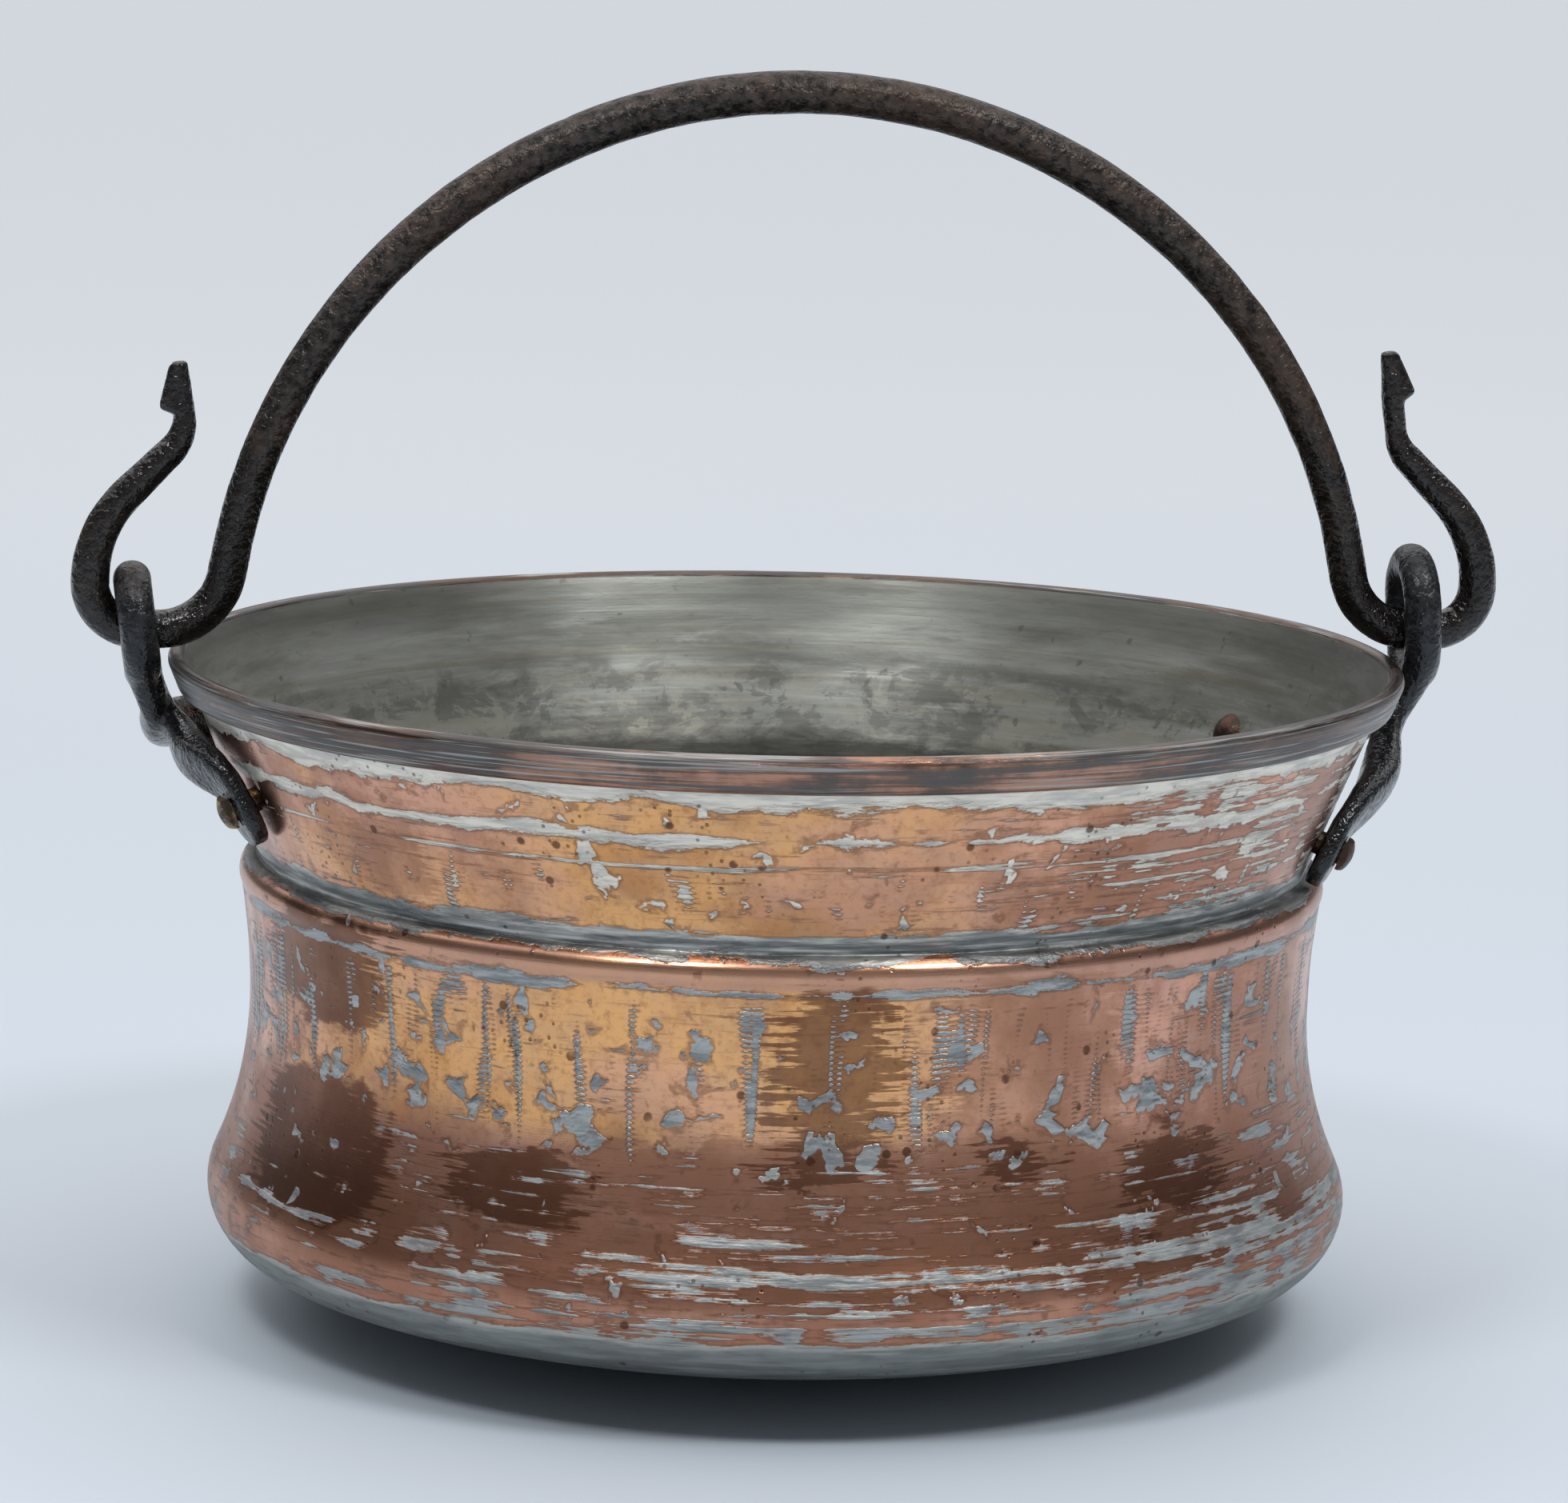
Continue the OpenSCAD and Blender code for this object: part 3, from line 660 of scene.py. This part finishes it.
def tinned_material():
    """Old tin inside: wiped, blotched low down, with painted shade under the rim, and darkest from the bead's
    channel down, painted shade with some grime.
    """
    dull_tin = (0.21, 0.215, 0.19)
    clear_tin = (0.455, 0.465, 0.43)
    bright_tin = (0.66, 0.68, 0.66)
    dark_tin = (0.15, 0.15, 0.13)
    tarnish = (0.25, 0.23, 0.165)
    pale_blotch = (0.45, 0.445, 0.375)
    dark_blotch = (0.16, 0.16, 0.145)
    under_rim = (0.14, 0.145, 0.125)
    grime_and_shade = (0.045, 0.044, 0.037)
    pock = (0.11, 0.105, 0.09)
    g = Graph("old_tinning")
    cloud = g.noise((8, 8, 62), 6, 0.62, 1.9, 0.2)
    patch = g.noise((30, 30, 130), 6, 0.66, 6.6, 0.3)
    along = g.noise((6, 6, 300), 5, 0.6, 4.2)
    blotch = g.noise((50, 50, 75), 6, 0.68, 10.5, 0.4)
    pocks = g.noise((150, 150, 150), 3, 0.5, 3.3)
    colour = g.mix(g.step(cloud, 0.36, 0.64), dull_tin, clear_tin)
    colour = g.mix(g.step(patch, 0.54, 0.72, 0.0, 0.45), colour, bright_tin)
    colour = g.mix(g.step(patch, 0.44, 0.32, 0.0, 0.45), colour, dark_tin)
    colour = g.mix(g.step(along, 0.50, 0.70, 0.0, 0.50), colour, tarnish)
    low = g.step(g.add(g.z, g.mul(blotch, 0.03)), 0.184, 0.174, 0.0, 0.55)
    colour = g.mix(g.mul(g.step(blotch, 0.51, 0.55), low), colour, pale_blotch)
    colour = g.mix(g.mul(g.step(blotch, 0.47, 0.43), low), colour, dark_blotch)
    # Painted shade on the inside just under the rim
    colour = g.mix(g.step(g.add(g.z, g.mul(patch, 0.012)), 0.178, 0.194, 0.0, 0.62), colour, under_rim)
    # Painted shade deep in the vessel, with some grime, from the bead's channel down
    colour = g.mix(g.step(g.add(g.z, g.mul(patch, 0.014)), 0.1535, 0.1475, 0.0, 0.85), colour, grime_and_shade)
    colour = g.mix(g.step(pocks, 0.67, 0.72, 0.0, 0.5), colour, pock)
    g.set(Base_Color=colour, Metallic=0.65, Roughness=g.step(patch, 0.3, 0.7, 0.46, 0.34))
    g.bump(g.add(g.mul(patch, 0.5), g.mul(along, 0.4)), 0.0005, 0.40)
    return g.mat


def iron_material(name, dark, light, rust, rust_from, dull_from, dull_reach):
    """Forged, pitted iron: black and glossy, duller above dull_from and nearer the middle than dull_reach,
    and painted lighter there as a sheen along the top.
    """
    speck_brown = (0.20, 0.145, 0.105)
    g = Graph(name)
    broad = g.noise((30, 30, 30), 4, 0.55, 5.5)
    grain = g.noise((300, 300, 300), 6, 0.68, 2.4)
    dimple = g.noise((330, 330, 330), 1.5, 0.5, 9.3)
    pits = g.noise((720, 720, 720), 1, 0.5, 7.1)
    dull = g.step(g.add(g.z, g.mul(broad, 0.06)), dull_from, dull_from + 0.06)
    dull = g.mul(dull, g.step(g.math("ABSOLUTE", g.x), dull_reach + 0.010, dull_reach))
    amount = g.add(g.mul(broad, 0.55), g.mul(grain, 0.45), g.mul(dull, 0.06))
    amount = g.mul(g.step(amount, rust_from, rust_from + 0.18), g.step(dull, 0.0, 1.0, 0.45, 1.0))
    # Painted sheen: the upper, duller part takes more of the light colour
    colour = g.mix(g.mul(g.step(grain, 0.35, 0.65), g.step(dull, 0.0, 1.0, 0.25, 1.0)), dark, light)
    colour = g.mix(g.mul(amount, 0.5), colour, rust)
    specks = g.mul(g.step(grain, 0.60, 0.70), g.step(broad, 0.48, 0.60))
    colour = g.mix(g.mul(specks, dull, 0.30), colour, speck_brown)
    rough = g.add(g.step(dull, 0.0, 1.0, 0.20, 0.34), g.mul(amount, 0.06))
    g.set(Base_Color=colour, Metallic=0.3, Roughness=rough, Coat_Roughness=0.12)
    g.set(Coat_Weight=g.step(dull, 0.0, 1.0, 0.45, 0.05), Specular_IOR_Level=0.3)
    relief = g.add(dimple, g.mul(grain, 0.12), g.step(pits, 0.36, 0.60, 0.0, 0.25))
    g.bump(relief, 0.0008, 0.7)
    return g.mat


def rivet_material(name, worn):
    grime_and_shade = (0.055, 0.038, 0.028)
    g = Graph(name)
    patch = g.noise((210, 210, 210), 4, 0.6, 3.7)
    fine = g.noise((700, 700, 700), 3, 0.6, 1.1)
    colour = g.mix(g.step(patch, 0.42, 0.62), grime_and_shade, worn)
    g.set(Base_Color=colour, Metallic=0.8, Roughness=g.step(fine, 0.3, 0.7, 0.28, 0.5))
    g.bump(g.add(patch, g.mul(fine, 0.4)), 0.0008, 0.6)
    return g.mat


copper = copper_material()
rim_copper = rim_material()
tinned = tinned_material()
bail_iron = iron_material(
    "bail_iron", dark=(0.0065, 0.005, 0.0045), light=(0.062, 0.053, 0.048), rust=(0.085, 0.050, 0.034),
    rust_from=0.49, dull_from=0.26, dull_reach=0.158)
ear_iron = iron_material(
    "ear_iron", dark=(0.0075, 0.008, 0.0095), light=(0.044, 0.046, 0.051), rust=(0.060, 0.042, 0.032),
    rust_from=0.53, dull_from=0.205, dull_reach=0.30)
bright_rivet = rivet_material("rivet_brass", worn=(0.36, 0.25, 0.13))
brown_rivet = rivet_material("rivet_brown", worn=(0.095, 0.046, 0.031))


# Vessel
OUTSIDE, RIM, INSIDE = range(3)
vessel_steps = 432
first_ring_r = 12.0

# The sheet's unevenness: heights where it begins and is full, depths, and widths of its marks and bands; the
# rim also droops a little, from droop_from up
uneven_from = 12.0
uneven_full = 60.0
oval_depth = 0.45
wave_depth = 0.35
mark_depth = 0.20
mark_w = 15.0
band_depth = 0.22
band_w = 34.0
droop_from = 150.0
droop_depth = 0.6


def vessel_rows():
    """Points from the base's middle out, up, over the rim and down inside, each with its material slot."""
    outer_r = fold_r + sheet_t
    tuck_top = polar(tuck_c, outer_r, tuck_end)[1]
    neck_in = (groove[0] - sheet_t * sin(neck_a), groove[1] + sheet_t * cos(neck_a))
    outside = [(0.0, 0.0)] + line((first_ring_r, 0.0), (stand_r, 0.0), 5)
    outside += arc(dome_c, dome_r, dome_start, dome_end, 14)[1:]
    outside += arc(knuckle_c, knuckle_r, dome_end, knuckle_end, 14)[1:]
    outside += arc(belly_c, belly_sweep_r, 180 + knuckle_end, 180, 22)[1:]
    outside += arc(sweep_c, sweep_r, 180, sweep_end, 14)[1:]
    outside += arc(bead_c, bead_r, crease_a, 90, 12)[1:]
    outside += line(groove, (neck_radius(tuck_top), tuck_top), 22)[1:]
    rim = arc(tuck_c, outer_r, tuck_end, fold_turn, 10)
    rim += line(rim[-1], polar(fold_c, outer_r, fold_turn), 8)[1:-1]
    rim += arc(fold_c, outer_r, fold_turn, fold_start, 14)
    inside = line(rim[-1], neck_in, 20)[1:]
    inside += arc(bead_c, bead_r - sheet_t, 90, crease_a, 8)
    inside += arc(sweep_c, sweep_r + sheet_t, sweep_end, 180, 10)[1:]
    inside += arc(belly_c, belly_sweep_r + sheet_t, 180, 180 + knuckle_end, 14)[1:]
    inside += arc(knuckle_c, knuckle_r - sheet_t, knuckle_end, dome_end, 8)[1:]
    inside += arc(dome_c, dome_r - sheet_t, dome_end, dome_start, 10)[1:]
    inside += [(stand_r * share, sheet_t) for share in (2 / 3, 1 / 3, 0)]
    stretches = ((OUTSIDE, outside), (RIM, rim), (INSIDE, inside))
    return [(p, slot) for slot, points in stretches for p in points]


def dent(theta, r, z):
    """Inward and downward drift of the hand-raised sheet; nothing stands proud of the true form."""
    p = (r * math.cos(theta), r * math.sin(theta), z)
    banded = (p[0], p[1], 3 * z)
    slow = oval_depth * wave(2 * theta + 0.6) + wave_depth * wave(5 * theta + z / 40)
    hammer = mark_depth * wobble(p, mark_w, 3.0) + band_depth * wobble(banded, band_w, 8.0)
    drop = droop_depth * smooth(droop_from, vessel_h, z) * wave(2 * theta - 1.1)
    return smooth(uneven_from, uneven_full, z) * (slow + hammer), drop


def build_vessel():
    rows = vessel_rows()
    verts = [(0.0, 0.0, rows[0][0][1])]
    for (r, z), _ in rows[1:-1]:
        for i in range(vessel_steps):
            theta = 2 * math.pi * i / vessel_steps
            inward, drop = dent(theta, r, z)
            verts.append(((r - inward) * math.cos(theta), (r - inward) * math.sin(theta), z - drop))
    verts.append((0.0, 0.0, rows[-1][0][1]))
    last = len(verts) - 1
    faces, slots = [], []
    for j, (_, slot) in enumerate(rows[1:-1]):
        b = 1 + j * vessel_steps
        a = b - vessel_steps
        for i in range(vessel_steps):
            k = (i + 1) % vessel_steps
            faces.append((a + i, a + k, b + k, b + i) if j else (0, b + k, b + i))
            slots.append(slot)
    a = last - vessel_steps
    for i in range(vessel_steps):
        faces.append((a + i, a + (i + 1) % vessel_steps, last))
        slots.append(INSIDE)
    obj = new_object("cauldron_shell", verts, faces, (copper, rim_copper, tinned), slots)
    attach(obj, "cauldron")
    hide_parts("vessel")


# Ears
bar_sides = 24
eye_steps = 24
leg_steps = 12
strap_steps = 24
foot_steps = 16
weld_voxel = 0.9

# How a leg leaves its eye: the angle round the eye where it starts, counted down from the leg's own side,
# then its inset from the eye, its offset to its own side and its extra depth where it passes under the eye,
# and its heading there
Leaving = namedtuple("Leaving", "start_a inset offset drop heading")
crosses_inside = Leaving(120, 8.5, 0.0, 3.0, (-1.0, 1.0, -0.8))
crosses_outside = Leaving(120, 4.0, 0.0, 0.0, (0.0, 1.0, -0.8))
keeps_its_side = Leaving(20, 6.4, 6.0, 0.0, (-0.7, 0.7, -1.0))


def bezier(p, t):
    q = 1 - t
    return p[0] * q ** 3 + p[1] * (3 * t * q * q) + p[2] * (3 * t * t * q) + p[3] * t ** 3


def bezier_way(p, t):
    q = 1 - t
    slope = (p[1] - p[0]) * (3 * q * q) + (p[2] - p[1]) * (6 * t * q) + (p[3] - p[2]) * (3 * t * t)
    return slope.normalized()


def strap_ring(path, t, out, half_w, half_t, squareness, lift=0.0):
    """A ring across the path at t, its thickness toward out and its middle lifted that way."""
    way = bezier_way(path, t)
    v = (out - way * way.dot(out)).normalized()
    return ring(bezier(path, t) + v * lift, v.cross(way), v, half_w, half_w, half_t, squareness, bar_sides)


def leg_rings(az, depth, lean, leaving):
    """A leg from its eye down to its foot at azimuth az, where its rivet is that deep below the rim."""
    own = math.copysign(1, az)
    side = Vector((0, own, 0))
    tilt = Vector((sin(lean), 0, cos(lean)))
    ca, sa = cos(leaving.start_a), sin(leaving.start_a)
    start = eye_floor + tilt * (eye_w / 2) + (side * ca - tilt * sa) * eye_r
    start_way = (side * sa + tilt * ca) * (1 if leaving.start_a > 90 else -1)
    under = Vector((eye_x - leaving.inset, own * leaving.offset, vessel_h - pass_depth - leaving.drop))
    x, y, z = leaving.heading
    under_way = Vector((x, own * y, z)).normalized()
    out = neck_out(az)
    around = Vector((-sin(az), cos(az), 0)) * own
    down = around * sin(foot_slant) - neck_up(az) * cos(foot_slant)
    seat = neck_point(az, vessel_h - depth) + out * (seat_gap + foot_t / 2)
    foot = seat - down * foot_top
    drop = (under - start).length / 3
    reach = (foot - under).length / 3
    first = (start, start + start_way * drop, under - under_way * drop, under)
    second = (under, under + under_way * reach, foot - down * reach + out * leg_bow, foot)

    core = ear_bar_r - leg_sink
    rings = []
    for i in range(leg_steps + 1):
        t = i / leg_steps
        rings.append(strap_ring(first, t, out, core, core + (leg_t / 2 - core) * t, 1))
    for i in range(1, strap_steps + 1):
        t = i / strap_steps
        swell = leg_swell * sin(180 * t) ** 2
        half_w = core + (foot_w / 2 - core) * t
        half_t = (leg_t + (foot_t - leg_t) * t + swell) / 2
        squareness = 1 + (foot_squareness - 1) * t
        rings.append(strap_ring(second, t, out, half_w, half_t, squareness, swell / 2))
    for i in range(1, foot_steps + 1):
        s = i / foot_steps * (foot_top + foot_tip) - foot_top
        past = max(0.0, s / foot_tip)
        half_w = foot_end_w / 2 + (foot_w - foot_end_w) / 2 * math.sqrt(max(0.0, 1 - past * past))
        half_t = foot_t / 2 + (foot_end_t - foot_t) / 2 * past * past
        c = seat + down * s - out * (foot_t / 2 - half_t)
        rings.append(ring(c, out.cross(down), out, half_w, half_w, half_t, foot_squareness, bar_sides))
    return rings


def eye_rings(eye_h, lean):
    tilt = Vector((sin(lean), 0, cos(lean)))
    flat = Vector((cos(lean), 0, -sin(lean)))
    side = Vector((0, 1, 0))
    bar_r = ear_bar_r - eye_thinning
    rings = []
    for lift, start in ((0.0, 180), (eye_h - eye_w, 0)):
        for i in range(eye_steps + 1):
            a = start + 180 * i / eye_steps
            way = side * cos(a) + tilt * sin(a)
            c = eye_floor + tilt * (eye_w / 2 + lift) + way * eye_r
            rings.append(ring(c, way, flat, bar_r, bar_r, bar_r, 1, bar_sides))
    return rings


def build_ear(name, mirror, eye_h, lean, legs, seed):
    """An eye and its legs, each leg given as azimuth, depth of its rivet and way of leaving the eye."""
    shapes = [skin(eye_rings(eye_h, lean), closed=True)]
    for az, depth, leaving in legs:
        shapes.append(skin(leg_rings(az, depth, lean, leaving)))
    verts, faces = [], []
    for shape_verts, shape_faces in shapes:
        base = len(verts)
        verts += shape_verts
        faces += [tuple(base + i for i in face) for face in shape_faces]
    if mirror:
        verts = [Vector((-v.x, v.y, v.z)) for v in verts]
        faces = [tuple(reversed(face)) for face in faces]
    obj = new_object(name, verts, faces, (ear_iron,))
    weld = obj.modifiers.new("weld", "REMESH")
    weld.mode = "VOXEL"
    weld.voxel_size = weld_voxel * MM
    soften = obj.modifiers.new("soften", "SMOOTH")
    soften.factor = 0.5
    soften.iterations = 4
    apply_modifiers(obj)
    forge(obj, depth=0.28, pit_depth=0.15, seed=seed)
    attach(obj, "cauldron")
    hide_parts(name.replace("_forged", ""))


# Bail
rod_sides = 32
bow_steps = 60
bend_steps = 16
sweep_steps = 14
run_steps = 9
nape_steps = 12
barb_steps = 12

# How far the widths have gone from the rod's to the nape's where the hook's sweep and its straight run end
sweep_share = 0.3
run_share = 0.55

# Rounding of a barb, as lengths along the head with shares from nape to barb, and of its tip, as shares of
# the barb's length with shares of the tip's width
barb_rounding = ((-1.0, 0.18), (-0.4, 0.45), (0.2, 0.72), (1.0, 0.92))
tip_rounding = ((0.95, 0.93), (0.98, 0.78), (1.0, 0.5))


def half_bail(run, lean, head_l):
    """Stations from the bow's top to a hook's tip: point, heading, half-widths right, left and across."""
    ease = (soft_nape_r - nape_r) * math.tan(math.radians((hook_turn - lean) / 2))
    run -= ease
    head_l -= ease
    apex_z = bail_h - rod_r
    rise = apex_z - pivot_z
    bend_x = eye_x - eye_run
    reach = (rise * rise + bend_x * bend_x) / (2 * rise)
    bow_r = reach - inner_bend_r
    bow_z = apex_z - bow_r
    bow_end = math.degrees(math.asin((pivot_z + inner_bend_r - bow_z) / reach))
    rod = Vector((rod_r - rod_sink,) * 3)
    nape = Vector((nape_w / 2, nape_w / 2, head_t / 2))
    barb = Vector((head_w - nape_w / 2, nape_w / 2, head_t / 2))
    tip = Vector((head_tip_w / 2,) * 3)

    stations = []
    for i in range(bow_steps + 1):
        a = 90 + (bow_end - 90) * i / bow_steps
        swell = bow_swell * smooth(0.9, 0.35, i / bow_steps)
        stations.append((polar((0, bow_z), bow_r - swell, a), a - 90, rod + Vector((swell,) * 3)))
    inner_c = (bend_x, pivot_z + inner_bend_r)
    for i in range(1, bend_steps + 1):
        a = 180 + bow_end + (90 - bow_end) * i / bend_steps
        stations.append((polar(inner_c, inner_bend_r, a), a - 270, rod))
    stations.append(((eye_x, pivot_z), 0, rod))
    outer_c = (eye_x + eye_run, pivot_z + outer_bend_r)
    for i in range(bend_steps + 1):
        a = 270 + 90 * i / bend_steps
        stations.append((polar(outer_c, outer_bend_r, a), a - 270, rod))

    sweep_middle = (outer_c[0] + outer_bend_r - hook_sweep_r, outer_c[1])
    for i in range(1, sweep_steps + 1):
        a = hook_turn * i / sweep_steps
        widths = rod.lerp(nape, sweep_share * i / sweep_steps)
        stations.append((polar(sweep_middle, hook_sweep_r, a), 90 + a, widths))
    run_start = polar(sweep_middle, hook_sweep_r, hook_turn)
    run_heading = 90 + hook_turn
    for i in range(1, run_steps):
        widths = rod.lerp(nape, sweep_share + (run_share - sweep_share) * i / run_steps)
        stations.append((polar(run_start, run * i / run_steps, run_heading), run_heading, widths))
    nape_c = polar(polar(run_start, run, run_heading), soft_nape_r, hook_turn)
    for i in range(nape_steps + 1):
        a = hook_turn + (lean - hook_turn) * i / nape_steps
        widths = rod.lerp(nape, run_share + (1 - run_share) * i / nape_steps)
        stations.append((polar(nape_c, soft_nape_r, 180 + a), 90 + a, widths))

    head_start = polar(nape_c, soft_nape_r, 180 + lean)
    neck_l = head_l - barb_l
    straight_l = neck_l - barb_rise
    head = [(straight_l * share, nape) for share in (0.35, 0.7, 1.0)]
    for s, share in barb_rounding:
        full = barb.lerp(tip, max(0.0, s / barb_l))
        head.append((neck_l + s, nape.lerp(full, share)))
    for i in range(2, barb_steps):
        t = i / barb_steps
        head.append((neck_l + barb_l * t, barb.lerp(tip, t)))
    head += [(neck_l + barb_l * t, tip * share) for t, share in tip_rounding]
    return stations + [(polar(head_start, s, 90 + lean), 90 + lean, widths) for s, widths in head]


def build_bail():
    left_half = half_bail(run=20.0, lean=-6.0, head_l=18.0)
    right_half = half_bail(run=19.0, lean=7.0, head_l=26.0)
    across = Vector((0, 1, 0))
    rings = []
    for stations, side in ((list(reversed(left_half[1:])), -1), (right_half, 1)):
        for (x, z), heading, (plus, minus, thick) in stations:
            c = Vector((side * x + bail_shift, 0, z))
            u = Vector((side * sin(heading), 0, -cos(heading)))
            rings.append(ring(c, u, across, plus, minus, thick, 1, rod_sides))
    obj = new_object("bail_forged", *skin(rings), (bail_iron,))
    finer = obj.modifiers.new("finer", "SUBSURF")
    finer.levels = finer.render_levels = 1
    apply_modifiers(obj)
    forge(obj, depth=0.32, pit_depth=0.12, seed=21.0)
    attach(obj, "bail")
    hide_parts("bail")


build_vessel()
build_ear("left_ear_forged", mirror=True, eye_h=15.0, lean=7.0, seed=4.0,
          legs=[(-15.5, 36.0, crosses_inside), (18.0, 37.0, crosses_outside)])
build_ear("right_ear_forged", mirror=False, eye_h=21.0, lean=-3.0, seed=11.0,
          legs=[(-20.0, 47.0, keeps_its_side), (25.0, 36.0, keeps_its_side)])
build_bail()
node_materials = {
    "rim_hoop": ear_iron, "left_front_rivet": bright_rivet, "left_back_rivet": brown_rivet,
    "right_front_rivet": brown_rivet, "right_back_rivet": brown_rivet}
for name, material in node_materials.items():
    node = frame["nodes"][name]
    node.data.materials.clear()
    node.data.materials.append(material)


# Floor, lights and world, in metres
floor_size = 60
floor_drop = 0.0004
light_aim = Vector((0, 0, 0.13))
ceiling_lean = 22
world_strength = 1.36


def floor_material():
    near_shaded_colour = (0.62, 0.69, 0.765)
    far_lit_colour = (0.84, 0.885, 0.94)
    g = Graph("pale_floor")
    # Painted light falloff: the floor is darker at and in front of the vessel and lighter further back
    soft = g.noise((1.3, 1.3, 1.3), 2, 0.5, 2.0)
    far = g.step(g.add(g.y, g.mul(soft, 0.4)), 0.0, 2.6)
    g.set(Base_Color=g.mix(far, near_shaded_colour, far_lit_colour), Roughness=0.6, Specular_IOR_Level=0.2)
    return g.mat


bpy.ops.mesh.primitive_grid_add(
    x_subdivisions=8, y_subdivisions=8, size=floor_size, location=(0, 0, -floor_drop))
floor = bpy.context.object
floor.name = "floor"
floor.data.materials.append(floor_material())


def soft_box(name, place, width, depth, power):
    data = bpy.data.lights.new(name, "AREA")
    data.shape = "RECTANGLE"
    data.size = width
    data.size_y = depth
    data.energy = power
    obj = bpy.data.objects.new(name, data)
    obj.location = place
    obj.rotation_euler = (light_aim - Vector(place)).to_track_quat("-Z", "Y").to_euler()
    bpy.context.scene.collection.objects.link(obj)


soft_box("left_box", (-0.72, -0.97, 1.72), width=0.48, depth=0.36, power=9.5)
soft_box("right_box", (0.74, -1.03, 1.68), width=0.60, depth=0.36, power=11.5)


def make_world():
    """A bright ceiling leaning to the back, dark walls under it, and paler again at the horizon and below."""
    world = bpy.data.worlds.new("studio")
    bpy.context.scene.world = world
    world.use_nodes = True
    tree = world.node_tree
    tree.nodes.clear()
    where = tree.nodes.new("ShaderNodeTexCoord")
    toward = tree.nodes.new("ShaderNodeVectorMath")
    toward.operation = "DOT_PRODUCT"
    toward.inputs[1].default_value = (0.0, sin(ceiling_lean), cos(ceiling_lean))
    ramp = tree.nodes.new("ShaderNodeValToRGB")
    sky = tree.nodes.new("ShaderNodeBackground")
    sky.inputs[1].default_value = world_strength
    out = tree.nodes.new("ShaderNodeOutputWorld")
    tree.links.new(where.outputs["Generated"], toward.inputs[0])
    tree.links.new(toward.outputs["Value"], ramp.inputs[0])
    tree.links.new(ramp.outputs[0], sky.inputs[0])
    tree.links.new(sky.outputs[0], out.inputs[0])
    stops = ramp.color_ramp.elements
    stops[0].position = 0.0
    stops[0].color = (0.24, 0.25, 0.26, 1)
    stops[1].position = 1.0
    stops[1].color = (1.0, 1.0, 1.0, 1)
    for position, grey in ((0.10, 0.10), (0.50, 0.09), (0.72, 0.80)):
        stops.new(position).color = (grey, grey, grey * 1.03, 1)


make_world()
bpy.context.scene.view_settings.view_transform = "Standard"
